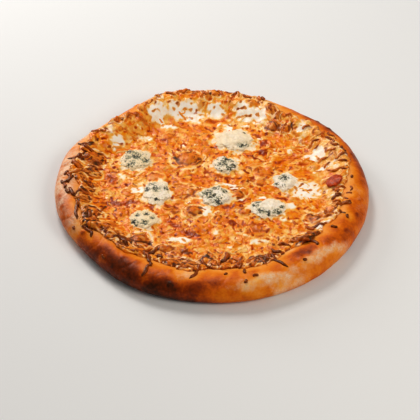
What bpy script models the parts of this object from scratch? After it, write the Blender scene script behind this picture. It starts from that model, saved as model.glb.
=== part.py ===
"""A whole cheese pizza: a baked crust with a rounded rim, melted cheese in it and
up the rim, eight lumps of blue cheese and one piece of tomato sunk in the cheese.

Metres, +Z up. The origin is the middle of the flat underside. The side that is
nearest the viewer is at -Y. Angles run anticlockwise from +X.
"""
import math
import random

import bmesh
import bpy
from mathutils import Vector, noise
from mathutils.bvhtree import BVHTree

MM = 0.001
CM = 0.01

# Crust
RADIUS = 15.0 * CM
RIM_HEIGHT = 21.5 * MM
CREST_IN = 15.0 * MM
BULGE_HEIGHT = 9.0 * MM
FOOT_IN = 8.0 * MM
DISH_FLOOR = 8.0 * MM
SLOPE_WIDTH = 37.0 * MM
FLAT_RADIUS = 9.0 * CM

# Uneven forms round the plan: angle in degrees, size in mm, width in degrees
OUTLINE_LOBES = (
    (218, -5.2, 17),
    (137, -5.0, 17),
    (50, -3.5, 16),
    (108, 4.5, 12),
    (88, 2.0, 12),
    (159, 2.5, 12),
    (295, 2.0, 20),
)
RIM_LOBES = (
    (20, 1.0, 25),
    (75, -1.2, 18),
    (115, 1.0, 20),
    (165, -0.8, 22),
    (205, 1.2, 20),
    (262, -1.0, 24),
    (318, 1.2, 22),
)
CHEESE_RADIUS = 12.9 * CM
CHEESE_LOBES = (
    (0, -1.0, 16),
    (30, 8.0, 20),
    (75, 15.0, 28),
    (120, 17.0, 28),
    (158, 11.0, 16),
    (212, 3.0, 14),
    (240, -8.0, 14),
    (272, -8.0, 16),
    (304, -15.0, 10),
    (326, -5.0, 12),
)

EDGE_WAVES = ((1.6, 11, 0.0), (1.2, 17, 1.0))
RIM_MARGIN = 4.0 * MM

# Melted cheese
CHEESE_LEVEL = 12.6 * MM
EDGE_SKIN = 1.5 * MM
LEVEL_BLEND = 1.0 * MM
ROUGH_SIZE = 13.0 * MM
ROUGH_HEIGHT = 0.8 * MM
SMOOTH_BORDER = 12.0 * MM

# Blisters and hollows in the cheese: x and y in cm, radius in mm, height in mm
BLISTERS = (
    (-11.4, 3.7, 9, 1.6),
    (-11.4, 1.5, 7, 1.2),
    (-2.4, 4.0, 13, 1.2),
    (-1.3, -1.1, 7, 1.2),
    (-1.6, -3.7, 7, 1.4),
    (3.1, -3.6, 6, 1.3),
    (6.1, 9.0, 7, 1.4),
    (7.3, 8.3, 5, 1.0),
    (-11.0, -4.6, 8, 1.3),
    (-6.6, -8.0, 9, 1.6),
    (8.3, -7.9, 9, 1.3),
    (9.4, -4.8, 7, 1.2),
    (2.4, -1.5, 6, 1.0),
    (8.6, -0.6, 12, -0.6),
    (-2.0, 11.0, 10, -0.6),
    (3.4, 10.9, 9, -0.6),
    (-5.2, 10.8, 8, -0.5),
)

# Blue cheese: x and y in cm, half sizes across and along in mm, turn in degrees
BLUE_LUMPS = (
    (-7.4, 3.9, 14.0, 14.5, 20),
    (-5.2, -1.1, 12.5, 16.0, 10),
    (0.4, -1.6, 13.5, 13.5, 0),
    (2.3, 7.0, 18.0, 15.5, -15),
    (1.3, 3.1, 11.0, 11.5, 30),
    (7.0, 0.5, 10.5, 12.5, 0),
    (5.3, -3.4, 16.0, 12.5, 10),
    (-6.3, -5.0, 12.5, 12.0, -20),
)
LUMP_HALF_HEIGHT = 3.2 * MM
LUMP_LIFT = 0.7 * MM
LUMP_ROUGHNESS = 0.12

TOMATO_PLACE = (11.7 * CM, 0.0)
TOMATO_HALF = (7.5 * MM, 8.0 * MM, 2.2 * MM)
TOMATO_LIFT = 1.9 * MM

# Grated cheese
SHRED_WIDTH = 3.0 * MM
SHRED_HEIGHT = 2.3 * MM
SHRED_SINK = 1.0 * MM
SHRED_STEP = 6.0 * MM
SHRED_CROWN = 0.7
END_FULLNESS = 0.6
FRINGE_COUNT = 60
FRINGE_INSIDE = 11.0 * MM
FRINGE_REACH = (2.0 * MM, 7.0 * MM)
FRINGE_TURN = 0.5
SHRED_BEND = 2.2 * MM
LOOSE_COUNT = 18
LOOSE_LENGTH = 15.0 * MM
LOOSE_RADIUS = 11.8 * CM
SHRED_SPACING = 5.0 * MM

# Long shreds that run out over the rim: start and end in cm, sideways bend in mm
LONG_SHREDS = (
    (5.4, -9.6, 6.7, -12.2, -3),
    (-1.1, -11.2, -1.9, -13.6, 2),
    (-12.0, 3.6, -13.9, 3.3, 3),
    (9.0, -8.2, 9.5, -9.3, 1),
)

# Browned shreds and crumbs lying on the bare rim: x and y in cm, length in mm, turn in degrees
RIM_CRUMBS = (
    (3.0, -13.9, 4.5, 60),
    (3.9, -13.3, 6.0, 35),
    (1.3, -12.9, 5.0, 70),
    (2.9, -12.6, 7.0, 100),
    (-5.9, -12.6, 8.0, 75),
    (-5.4, -11.9, 5.0, 100),
    (11.2, -6.9, 6.0, 150),
    (12.5, -5.5, 4.0, 90),
    (12.6, -3.5, 8.0, 175),
    (13.4, 0.3, 4.0, 60),
    (-13.9, 0.9, 6.0, 60),
    (-14.1, -0.3, 7.0, 120),
    (-13.6, -1.8, 8.0, 130),
    (8.3, -11.4, 4.0, 20),
    (-9.6, -10.4, 5.0, 130),
    (-12.6, -6.6, 5.0, 110),
)
CRUMB_WIDTH = 2.8 * MM
CRUMB_HEIGHT = 1.4 * MM

# Gap between touching pieces, and how far pieces lie apart where they must stay clear
GAP = 0.3 * MM
SHRED_CLEARANCE = 0.7 * MM
POCKET_GAP = 0.45 * MM

# Mesh fineness: the grid's half count sets eight times as many points round a ring
GRID_HALF = 12
RING_POINTS = 8 * GRID_HALF
SLOPE_RINGS = 5
OUTER_RINGS = 6
FOOT_RINGS = 3
FLAT_ANGLE = math.radians(1.5)
SEED = 12


def wrapped(degrees):
    """An angle in degrees brought to between -180 and 180."""
    return (degrees + 180.0) % 360.0 - 180.0


def lobes(angle, table):
    """Sum of smooth bumps round the plan, in metres."""
    degrees = math.degrees(angle)
    total = 0.0
    for at, size, width in table:
        total += size * math.exp(-(wrapped(degrees - at) / width) ** 2)
    return total * MM


def outer_edge(angle):
    """Radius of the rim's widest line."""
    return RADIUS + lobes(angle, OUTLINE_LOBES)


def rim_height(angle):
    """Height of the rim's crest."""
    return RIM_HEIGHT + lobes(angle, RIM_LOBES)


def cheese_edge(angle):
    """Radius where the melted cheese ends on the rim."""
    waves = sum(size * MM * math.sin(count * angle + phase) for size, count, phase in EDGE_WAVES)
    return min(CHEESE_RADIUS + lobes(angle, CHEESE_LOBES) + waves, outer_edge(angle) - RIM_MARGIN)


def crust_top(radius, angle):
    """Height of the crust's upper side."""
    crest = outer_edge(angle) - CREST_IN
    height = rim_height(angle)
    if radius >= crest:
        across = min((radius - crest) / CREST_IN, 1.0)
        return BULGE_HEIGHT + (height - BULGE_HEIGHT) * math.sqrt(1.0 - across * across)
    rise = max(1.0 - (crest - radius) / SLOPE_WIDTH, 0.0)
    return DISH_FLOOR + (height - DISH_FLOOR) * rise * rise * (3.0 - 2.0 * rise)


def cheese_top(x, y):
    """Height of the melted cheese: level in the dish, a skin on the rim's slope."""
    radius = math.hypot(x, y)
    angle = math.atan2(y, x)
    skin = crust_top(radius, angle) + GAP + EDGE_SKIN
    over = (skin - CHEESE_LEVEL) / LEVEL_BLEND
    height = CHEESE_LEVEL + LEVEL_BLEND * math.log1p(math.exp(min(over, 30.0)))
    inside = min(max((cheese_edge(angle) - radius) / SMOOTH_BORDER, 0.0), 1.0)
    rough = noise.noise(Vector((x, y, 0.0)) / ROUGH_SIZE)
    rough += 0.5 * noise.noise(Vector((x, y, 0.1)) / (0.5 * ROUGH_SIZE))
    bumps = ROUGH_HEIGHT * rough
    for at_x, at_y, size, rise in BLISTERS:
        away = math.hypot(x - at_x * CM, y - at_y * CM) / (size * MM)
        bumps += rise * MM * math.exp(-away * away)
    return height + inside * bumps


def new_object(name, bm, collection):
    """A mesh object from a bmesh, in the given collection."""
    mesh = bpy.data.meshes.new(name)
    bmesh.ops.recalc_face_normals(bm, faces=bm.faces)
    bm.to_mesh(mesh)
    bm.free()
    thing = bpy.data.objects.new(name, mesh)
    collection.objects.link(thing)
    return thing


def new_collection(name):
    """A collection linked to the scene."""
    collection = bpy.data.collections.new(name)
    bpy.context.scene.collection.children.link(collection)
    return collection


def paint(thing, colour, roughness):
    """Give an object its own Principled material."""
    material = bpy.data.materials.new(thing.name + "_finish")
    material.use_nodes = True
    shader = material.node_tree.nodes["Principled BSDF"]
    shader.inputs["Base Color"].default_value = (*colour, 1.0)
    shader.inputs["Roughness"].default_value = roughness
    shader.inputs["Metallic"].default_value = 0.0
    thing.data.materials.append(material)


def next_ring(bm, edges, place):
    """Extrude the open ring of edges and put each new point where place(angle) says."""
    made = bmesh.ops.extrude_edge_only(bm, edges=edges)["geom"]
    for item in made:
        if isinstance(item, bmesh.types.BMVert):
            angle = math.atan2(item.co.y, item.co.x)
            radius, height = place(angle)
            item.co = (radius * math.cos(angle), radius * math.sin(angle), height)
    return [item for item in made if isinstance(item, bmesh.types.BMEdge) and item.is_boundary]


def split_slope_faces(bm):
    """Split every four-sided face from its inner corner at the lower angle, so that
    the crust's slope and the cheese's underside have the same small triangles."""
    for face in [face for face in bm.faces if len(face.verts) == 4]:
        centre = face.calc_center_median()
        middle = math.degrees(math.atan2(centre.y, centre.x))
        lower = []
        higher = []
        for vert in face.verts:
            degrees = math.degrees(math.atan2(vert.co.y, vert.co.x))
            side = lower if wrapped(degrees - middle) < 0.0 else higher
            side.append(vert)
        if len(lower) != 2 or len(higher) != 2:
            continue
        inner = min(lower, key=lambda vert: vert.co.xy.length)
        outer = max(higher, key=lambda vert: vert.co.xy.length)
        if not set(inner.link_edges) & set(outer.link_edges):
            bmesh.utils.face_split(face, inner, outer)


def slope_place(step, lift):
    """Place of a ring between the flat middle and the cheese's edge, above the crust."""
    def place(angle):
        radius = FLAT_RADIUS + (cheese_edge(angle) - FLAT_RADIUS) * step / SLOPE_RINGS
        return radius, crust_top(radius, angle) + lift
    return place


def foot_place(step):
    """Place of a ring on the rim's lower side, from the underside out to the widest line."""
    def place(angle):
        turn = 0.5 * math.pi * step / FOOT_RINGS
        radius = outer_edge(angle) - FOOT_IN * (1.0 - math.sin(turn))
        return radius, BULGE_HEIGHT * (1.0 - math.cos(turn))
    return place


def rim_place(step):
    """Place of a ring on the bare rim, from the widest line in to the cheese's edge."""
    def place(angle):
        start = cheese_edge(angle)
        radius = start + (outer_edge(angle) - start) * math.cos(0.5 * math.pi * step / OUTER_RINGS)
        return radius, crust_top(radius, angle)
    return place


def build_crust(collection):
    """The crust: flat underside, bulging side, rounded rim, slope and flat middle."""
    bm = bmesh.new()
    bmesh.ops.create_circle(bm, cap_ends=True, segments=RING_POINTS, radius=RADIUS)
    for vert in bm.verts:
        angle = math.atan2(vert.co.y, vert.co.x)
        radius = outer_edge(angle) - FOOT_IN
        vert.co = (radius * math.cos(angle), radius * math.sin(angle), 0.0)
    ring = list(bm.edges)
    for step in range(1, FOOT_RINGS + 1):
        ring = next_ring(bm, ring, foot_place(step))
    for step in range(1, OUTER_RINGS + 1):
        ring = next_ring(bm, ring, rim_place(step))
    for step in range(SLOPE_RINGS - 1, -1, -1):
        ring = next_ring(bm, ring, slope_place(step, 0.0))
    bmesh.ops.contextual_create(bm, geom=ring)
    split_slope_faces(bm)
    return new_object("crust", bm, collection)


def round_from_square(x, y):
    """Move a point of the square from -1 to 1 on to a round disc, rings to rings."""
    if x == 0.0 and y == 0.0:
        return 0.0, 0.0
    if abs(x) >= abs(y):
        radius = x
        angle = 0.25 * math.pi * y / x
    else:
        radius = y
        angle = 0.5 * math.pi - 0.25 * math.pi * x / y
    return radius * math.cos(angle), radius * math.sin(angle)


def build_cheese(collection):
    """The melted cheese: rough upper side out to an uneven edge, underside on the crust."""
    def top_place(step):
        def place(angle):
            radius = FLAT_RADIUS + (cheese_edge(angle) - FLAT_RADIUS) * step / SLOPE_RINGS
            return radius, cheese_top(radius * math.cos(angle), radius * math.sin(angle))
        return place

    bm = bmesh.new()
    segments = 2 * GRID_HALF
    bmesh.ops.create_grid(bm, x_segments=segments, y_segments=segments, size=1.0)
    for vert in bm.verts:
        steps_x = round(vert.co.x * GRID_HALF) / GRID_HALF
        steps_y = round(vert.co.y * GRID_HALF) / GRID_HALF
        x, y = round_from_square(steps_x, steps_y)
        x *= FLAT_RADIUS
        y *= FLAT_RADIUS
        vert.co = (x, y, cheese_top(x, y))
    ring = [edge for edge in bm.edges if edge.is_boundary]
    for step in range(1, SLOPE_RINGS + 1):
        ring = next_ring(bm, ring, top_place(step))
    for step in range(SLOPE_RINGS, -1, -1):
        ring = next_ring(bm, ring, slope_place(step, GAP))
    bmesh.ops.contextual_create(bm, geom=ring)
    split_slope_faces(bm)
    return new_object("cheese", bm, collection)


def surface_tree(thing):
    """A search tree of an object's faces, for heights straight below a point."""
    bm = bmesh.new()
    bm.from_mesh(thing.data)
    bmesh.ops.triangulate(bm, faces=bm.faces)
    tree = BVHTree.FromBMesh(bm)
    bm.free()
    return tree


def height_at(tree, x, y):
    """Height of the surface at x and y, or None beside it."""
    place = tree.ray_cast(Vector((x, y, 1.0)), Vector((0.0, 0.0, -1.0)))[0]
    return place.z if place else None


def shred_points(start, end, bend, count):
    """Points along a shred that bows sideways between its two ends."""
    run = end - start
    side = Vector((-run.y, run.x)).normalized()
    points = []
    for index in range(count):
        share = index / (count - 1)
        points.append(start + run * share + side * bend * math.sin(math.pi * share))
    return points


def build_shred(name, start, end, bend, ground, collection):
    """One shred: a strip with narrow ends that follows the ground under it."""
    segments = max(3, math.ceil((end - start).length / SHRED_STEP))
    bm = bmesh.new()
    bmesh.ops.create_cube(bm, size=1.0)
    along = [edge for edge in bm.edges if abs(edge.verts[0].co.x - edge.verts[1].co.x) > 0.5]
    bmesh.ops.subdivide_edges(bm, edges=along, cuts=segments - 1, use_grid_fill=True)
    run = (end - start).normalized()
    side = Vector((-run.y, run.x))
    for vert in bm.verts:
        share = vert.co.x + 0.5
        fullness = END_FULLNESS + (1.0 - END_FULLNESS) * math.sin(math.pi * share)
        middle = start.lerp(end, share) + side * bend * math.sin(math.pi * share)
        width = SHRED_WIDTH * fullness * (1.0 if vert.co.z < 0.0 else SHRED_CROWN)
        spot = middle + side * width * vert.co.y
        height = ground(middle.x, middle.y)
        if vert.co.z > 0.0:
            height += SHRED_HEIGHT * fullness
        else:
            height = max(height, ground(spot.x, spot.y))
        vert.co = (spot.x, spot.y, height)
    bmesh.ops.triangulate(bm, faces=bm.faces)
    return new_object(name, bm, collection)


def fringe_shreds(random_source):
    """Shreds round the cheese's edge, lying out towards the rim."""
    shreds = []
    for index in range(FRINGE_COUNT):
        angle = 2.0 * math.pi * (index + random_source.uniform(-0.3, 0.3)) / FRINGE_COUNT
        reach = random_source.uniform(*FRINGE_REACH)
        turn = angle + random_source.uniform(-FRINGE_TURN, FRINGE_TURN)
        edge = cheese_edge(angle)
        reach = min(reach, outer_edge(angle) - edge - SHRED_WIDTH)
        inner = Vector((math.cos(angle), math.sin(angle))) * (edge - FRINGE_INSIDE)
        outer = inner + Vector((math.cos(turn), math.sin(turn))) * (FRINGE_INSIDE + reach)
        bend = random_source.uniform(-SHRED_BEND, SHRED_BEND)
        shreds.append((inner, outer, bend))
    return shreds


def clear_of_toppings(points, margin):
    """True where none of the points comes near a lump or the tomato."""
    for point in points:
        for x, y, half_x, half_y, _turn in BLUE_LUMPS:
            if (point - Vector((x, y)) * CM).length < max(half_x, half_y) * MM + margin:
                return False
        if (point - Vector(TOMATO_PLACE)).length < max(TOMATO_HALF) + margin:
            return False
    return True


def loose_shreds(random_source, taken):
    """Shreds scattered on the cheese, clear of the lumps and of each other."""
    shreds = []
    tries = 0
    while len(shreds) < LOOSE_COUNT and tries < 4000:
        tries += 1
        radius = LOOSE_RADIUS * math.sqrt(random_source.random())
        angle = random_source.uniform(-math.pi, math.pi)
        turn = random_source.uniform(-math.pi, math.pi)
        half = Vector((math.cos(turn), math.sin(turn))) * 0.5 * LOOSE_LENGTH
        middle = Vector((math.cos(angle), math.sin(angle))) * radius
        bend = random_source.uniform(-SHRED_BEND, SHRED_BEND)
        points = shred_points(middle - half, middle + half, bend, 6)
        if not clear_of_toppings(points, SHRED_WIDTH):
            continue
        if any((point - other).length < SHRED_SPACING for point in points for other in taken):
            continue
        taken.extend(points)
        shreds.append((middle - half, middle + half, bend))
    return shreds


def build_crumb(name, x, y, length, turn, ground, collection):
    """A small browned crumb, sunk by half in the crust."""
    bm = bmesh.new()
    bmesh.ops.create_icosphere(bm, subdivisions=1, radius=1.0)
    for vert in bm.verts:
        along = 0.5 * length * vert.co.x
        across = 0.5 * CRUMB_WIDTH * vert.co.y
        spot_x = x + along * math.cos(turn) - across * math.sin(turn)
        spot_y = y + along * math.sin(turn) + across * math.cos(turn)
        vert.co = (spot_x, spot_y, ground(spot_x, spot_y) + CRUMB_HEIGHT * vert.co.z)
    return new_object(name, bm, collection)


def whole_shell(mesh):
    """Keep the one largest closed body of a mesh: loose scraps and sealed hollows go."""
    bm = bmesh.new()
    bm.from_mesh(mesh)
    bmesh.ops.remove_doubles(bm, verts=bm.verts, dist=0.00001)
    bmesh.ops.dissolve_degenerate(bm, edges=bm.edges, dist=0.00001)
    unseen = set(bm.verts)
    bodies = []
    while unseen:
        stack = [unseen.pop()]
        body = set(stack)
        while stack:
            for edge in stack.pop().link_edges:
                for vert in edge.verts:
                    if vert in unseen:
                        unseen.discard(vert)
                        body.add(vert)
                        stack.append(vert)
        bodies.append(body)
    largest = max(bodies, key=len)
    scraps = [vert for vert in bm.verts if vert not in largest]
    bmesh.ops.delete(bm, geom=scraps, context="VERTS")
    bmesh.ops.dissolve_limit(bm, angle_limit=FLAT_ANGLE, verts=bm.verts, edges=bm.edges)
    bmesh.ops.triangulate(bm, faces=bm.faces)
    bm.to_mesh(mesh)
    bm.free()


def fuse(thing, collection):
    """Join a collection's pieces to an object by one union, then remove the pieces."""
    union = thing.modifiers.new("Fused pieces", "BOOLEAN")
    union.operation = "UNION"
    union.solver = "EXACT"
    union.operand_type = "COLLECTION"
    union.collection = collection
    seen = thing.evaluated_get(bpy.context.evaluated_depsgraph_get())
    fused = bpy.data.meshes.new_from_object(seen)
    thing.modifiers.clear()
    thing.data = fused
    for piece in list(collection.objects):
        bpy.data.objects.remove(piece)
    bpy.data.collections.remove(collection)
    whole_shell(thing.data)


def round_lump(name, place, half_sizes, turn, lift, roughness, collection):
    """A flattened uneven lump that follows the cheese, its middle a little above it."""
    bm = bmesh.new()
    bmesh.ops.create_uvsphere(bm, u_segments=12, v_segments=7, radius=1.0)
    x, y = place
    for vert in bm.verts:
        swell = 1.0 + roughness * noise.noise(vert.co * 1.7 + Vector((x, y, 0.0)) * 90.0)
        across = half_sizes[0] * vert.co.x * swell
        along = half_sizes[1] * vert.co.y * swell
        spot_x = x + across * math.cos(turn) - along * math.sin(turn)
        spot_y = y + across * math.sin(turn) + along * math.cos(turn)
        height = cheese_top(spot_x, spot_y) + lift + half_sizes[2] * vert.co.z * swell
        vert.co = (spot_x, spot_y, height)
    bmesh.ops.triangulate(bm, faces=bm.faces)
    return new_object(name, bm, collection)


def pocket_for(lump, collection):
    """A cutter a little larger than a lump all round."""
    cutter = bpy.data.objects.new(lump.name + "_pocket", lump.data.copy())
    collection.objects.link(cutter)
    for vert in cutter.data.vertices:
        vert.co = vert.co + vert.normal * POCKET_GAP
    cutter.hide_render = True
    cutter.display_type = "WIRE"


def main():
    for thing in list(bpy.data.objects):
        bpy.data.objects.remove(thing)
    parts = new_collection("cheese_pizza")
    cutters = new_collection("cutters")
    shreds = new_collection("shreds")
    crumbs = new_collection("crumbs")
    random_source = random.Random(SEED)

    crust = build_crust(parts)
    cheese = build_cheese(parts)
    crust_tree = surface_tree(crust)
    cheese_tree = surface_tree(cheese)

    def shred_ground(x, y):
        on_cheese = height_at(cheese_tree, x, y)
        on_crust = height_at(crust_tree, x, y) + SHRED_CLEARANCE
        if on_cheese is None:
            return on_crust
        return max(on_cheese - SHRED_SINK, on_crust)

    long_ones = []
    for x1, y1, x2, y2, bend in LONG_SHREDS:
        long_ones.append((Vector((x1, y1)) * CM, Vector((x2, y2)) * CM, bend * MM))
    edge_shreds = long_ones + fringe_shreds(random_source)
    edge_shreds = [shred for shred in edge_shreds if clear_of_toppings(shred_points(*shred, 6), SHRED_WIDTH)]
    taken = [point for shred in edge_shreds for point in shred_points(*shred, 6)]
    all_shreds = edge_shreds + loose_shreds(random_source, taken)
    for number, (start, end, bend) in enumerate(all_shreds):
        build_shred(f"shred_{number}", start, end, bend, shred_ground, shreds)

    for number, (x, y, length, turn) in enumerate(RIM_CRUMBS):
        spot = Vector((x, y)) * CM
        reach = 0.5 * length * MM + SHRED_WIDTH
        if spot.length < cheese_edge(math.atan2(y, x)) + 0.5 * length * MM:
            continue
        if any((spot - point).length < reach for point in taken):
            continue
        build_crumb(f"crumb_{number}", spot.x, spot.y, length * MM, math.radians(turn),
                    lambda px, py: height_at(crust_tree, px, py), crumbs)

    fuse(cheese, shreds)
    fuse(crust, crumbs)

    toppings = []
    for number, (x, y, half_x, half_y, turn) in enumerate(BLUE_LUMPS, start=1):
        half_sizes = (half_x * MM, half_y * MM, LUMP_HALF_HEIGHT)
        lump = round_lump(f"blue_cheese_{number}", (x * CM, y * CM), half_sizes,
                          math.radians(turn), LUMP_LIFT, LUMP_ROUGHNESS, parts)
        paint(lump, (0.62, 0.55, 0.40), 0.55)
        toppings.append(lump)
    tomato = round_lump("tomato", TOMATO_PLACE, TOMATO_HALF, 0.0, TOMATO_LIFT, 0.05, parts)
    paint(tomato, (0.45, 0.05, 0.01), 0.25)
    toppings.append(tomato)
    for topping in toppings:
        pocket_for(topping, cutters)

    pockets = cheese.modifiers.new("Pockets", "BOOLEAN")
    pockets.operation = "DIFFERENCE"
    pockets.solver = "EXACT"
    pockets.operand_type = "COLLECTION"
    pockets.collection = cutters

    paint(crust, (0.55, 0.22, 0.05), 0.5)
    paint(cheese, (0.80, 0.36, 0.07), 0.35)
    for thing in parts.objects:
        thing.data.shade_smooth()


main()
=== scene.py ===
# %% [markdown]
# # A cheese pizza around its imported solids
# The solids give the crust, the cheese, eight lumps of blue cheese and one piece of tomato at
# their real sizes. These lessons dress each of them: every piece below is a fine mesh that takes
# its outline and height from the same few numbers as the solids, so nothing has to be fitted.
# The side nearest the viewer is at -Y, and the middle of the flat underside is the origin.

import math
import random

import bmesh
import bpy
import numpy as np
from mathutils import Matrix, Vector, noise
from mathutils.bvhtree import BVHTree


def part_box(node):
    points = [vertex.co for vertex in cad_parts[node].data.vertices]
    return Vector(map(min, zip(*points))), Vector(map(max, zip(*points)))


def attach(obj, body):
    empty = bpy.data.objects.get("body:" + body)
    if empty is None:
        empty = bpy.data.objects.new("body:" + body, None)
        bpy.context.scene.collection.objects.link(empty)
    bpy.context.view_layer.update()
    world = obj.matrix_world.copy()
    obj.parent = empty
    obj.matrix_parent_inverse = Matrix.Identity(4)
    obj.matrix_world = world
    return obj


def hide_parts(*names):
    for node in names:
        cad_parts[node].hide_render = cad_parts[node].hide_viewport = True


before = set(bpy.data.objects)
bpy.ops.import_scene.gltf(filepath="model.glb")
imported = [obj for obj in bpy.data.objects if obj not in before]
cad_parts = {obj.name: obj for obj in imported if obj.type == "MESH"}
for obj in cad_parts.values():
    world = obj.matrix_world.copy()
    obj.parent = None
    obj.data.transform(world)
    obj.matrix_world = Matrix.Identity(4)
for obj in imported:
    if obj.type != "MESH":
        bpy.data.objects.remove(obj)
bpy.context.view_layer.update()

# %% [markdown]
# ## Driving sizes
# The crust's solid gives the radius. The other sizes and the lobes repeat the ones that shaped
# the solids: lobes are soft bulges and flats round the plan, which keep a hand-stretched pizza
# from being a true circle.

# %% Sizes and lobes
MM = 0.001
CM = 0.01
crust_low, crust_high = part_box("crust")
RADIUS = 0.5 * (crust_high.x - crust_low.x)
RIM_HEIGHT = 21.5 * MM
CREST_IN = 15.0 * MM
BULGE_HEIGHT = 9.0 * MM
FOOT_IN = 8.0 * MM
DISH_FLOOR = 8.0 * MM
SLOPE_WIDTH = 37.0 * MM
FLAT_RADIUS = 9.0 * CM
CHEESE_RADIUS = 12.9 * CM
CHEESE_LEVEL = 12.6 * MM
EDGE_SKIN = 1.5 * MM
GAP = 0.3 * MM
LEVEL_BLEND = 1.0 * MM
ROUGH_SIZE = 13.0 * MM
ROUGH_HEIGHT = 0.8 * MM
RIM_MARGIN = 4.0 * MM
SMOOTH_BORDER = 12.0 * MM

# angle in degrees, size in mm, width in degrees
OUTLINE_LOBES = (
    (218, -5.2, 17), (137, -5.0, 17), (50, -3.5, 16), (108, 4.5, 12), (88, 2.0, 12), (159, 2.5, 12),
    (295, 2.0, 20),
)
RIM_LOBES = (
    (20, 1.0, 25), (75, -1.2, 18), (115, 1.0, 20), (165, -0.8, 22), (205, 1.2, 20), (262, -1.0, 24),
    (318, 1.2, 22),
)
CHEESE_LOBES = (
    (0, -1.0, 16), (30, 8.0, 20), (75, 15.0, 28), (120, 17.0, 28), (158, 11.0, 16), (212, 3.0, 14),
    (240, -8.0, 14), (272, -8.0, 16), (304, -15.0, 10), (326, -5.0, 12),
)
print("radius, mm:", round(RADIUS / MM, 1))

# %% [markdown]
# ## Heights as functions
# Each function takes whole arrays of points, which keeps a mesh of eighty thousand points quick.
# The crust is an ellipse outside its crest and an S-shaped slope inside it. The cheese fills
# the dish to a level and lies as a thin skin up the slope.

# %% Outline and height functions
def smooth(low, high, values):
    """Soft step from 0 at low to 1 at high."""
    share = np.clip((values - low) / (high - low), 0.0, 1.0)
    return share * share * (3.0 - 2.0 * share)


def bell(values, middle, width):
    """Soft bump: 1 at the middle, and a third of that a width away from it."""
    return np.exp(-(((values - middle) / width) ** 2))


def lobes(angle, table):
    """Sum of soft bumps round the plan, in metres."""
    degrees = np.degrees(angle)
    total = np.zeros_like(degrees)
    for at, size, width in table:
        away = (degrees - at + 180.0) % 360.0 - 180.0
        total += size * bell(away, 0.0, width)
    return total * MM


def outer_edge(angle):
    return RADIUS + lobes(angle, OUTLINE_LOBES)


def rim_height(angle):
    return RIM_HEIGHT + lobes(angle, RIM_LOBES)


def cheese_edge(angle):
    waves = 1.6 * MM * np.sin(11.0 * angle) + 1.2 * MM * np.sin(17.0 * angle + 1.0)
    edge = CHEESE_RADIUS + lobes(angle, CHEESE_LOBES) + waves
    return np.minimum(edge, outer_edge(angle) - RIM_MARGIN)


def crust_top(radius, angle):
    crest = outer_edge(angle) - CREST_IN
    height = rim_height(angle)
    across = np.clip((radius - crest) / CREST_IN, 0.0, 1.0)
    outside = BULGE_HEIGHT + (height - BULGE_HEIGHT) * np.sqrt(1.0 - across * across)
    rise = np.clip(1.0 - (crest - radius) / SLOPE_WIDTH, 0.0, 1.0)
    inside = DISH_FLOOR + (height - DISH_FLOOR) * rise * rise * (3.0 - 2.0 * rise)
    return np.where(radius >= crest, outside, inside)


def one_angle(function, angle):
    return float(function(np.array([angle]))[0])


def place_at(from_middle, angle):
    return from_middle * math.cos(angle), from_middle * math.sin(angle)


print("rim at the front, mm:", round(one_angle(rim_height, -0.5 * math.pi) / MM, 1))

# %% [markdown]
# ## Noise and ragged edges
# One noise, read at different sizes and shifts, does all the wandering: it frays the melted
# edge into tongues, pushes outlines about and later roughens every surface. Reading it at whole
# arrays of places keeps each use to one line.

# %% Noise and the frayed edge of the cheese
# where the melted edge lies further in on the rim than the smooth edge of the solid
EDGE_TRIMS = (
    (130, -7.5, 14), (158, -3.5, 10), (52, -9.0, 16), (29, -3.0, 8), (14, 3.0, 9), (275, -6.5, 8),
    (261, 4.5, 3), (289, 3.5, 3), (252, 2.0, 3), (230, 4.0, 5), (218, -2.0, 4), (210, 2.5, 3),
)
EDGE_MARGIN = 2.5 * MM


def grain(places, size, shift=0.0):
    """Noise from about -1 to 1 with features about size across."""
    return np.array([noise.noise(point) for point in (places / size + shift).tolist()])


def fringed_edge(angle):
    """The cheese's edge with the small tongues that melted shreds leave."""
    ring = np.stack([np.cos(angle), np.sin(angle), np.zeros_like(angle)], axis=1)
    tongues = 5.0 * grain(ring, 0.13, 5.0) + 3.2 * grain(ring, 0.055, 9.0)
    tongues += 0.7 * grain(ring, 0.022, 13.0)
    edge = cheese_edge(angle) + lobes(angle, EDGE_TRIMS) + tongues * MM
    return np.minimum(edge, outer_edge(angle) - EDGE_MARGIN)


def flat_places(x, y):
    """Points on the ground plane, for noise that only follows the plan."""
    return np.stack([x, y, np.zeros_like(x)], axis=1)


def wander(places, size, reach, seed):
    """The points pushed about sideways, for ragged outlines."""
    x = places[:, 0] + reach * grain(places, size, seed)
    y = places[:, 1] + reach * grain(places, size, seed + 7.3)
    return x, y


print("melted edge at the front, mm:", round(one_angle(fringed_edge, -0.5 * math.pi) / MM, 1))

# %% [markdown]
# ## What shows where
# Every shred, crumb, blister, clump, pool, oily spot and toasted area that stands out in the
# photograph is one row of a table: its place in centimetres, its sizes in millimetres and its
# turn in degrees. Each table stands where it is first needed. Areas are drawn as soft ellipses,
# measured at points that a noise has pushed about first, which gives each its own ragged shore.

# %% A field from a table of ellipses
def turned(x, y, turn):
    """Distances along and across a direction."""
    return x * math.cos(turn) + y * math.sin(turn), y * math.cos(turn) - x * math.sin(turn)


def ellipse_away(x, y, at_x, at_y, half_x, half_y, turn):
    """How far out points lie in an ellipse of a table: 1 is its border."""
    along, across = turned(x - at_x * CM, y - at_y * CM, math.radians(turn))
    return np.hypot(along / (half_x * MM), across / (half_y * MM))


def ellipse_field(x, y, table, softness=0.45):
    """Largest strength of the table's ellipses at each point, with soft borders."""
    field = np.zeros_like(x)
    for *ellipse, strength in table:
        inside = 1.0 - smooth(1.0 - softness, 1.0 + softness, ellipse_away(x, y, *ellipse))
        field = np.maximum(field, strength * inside)
    return field


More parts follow.
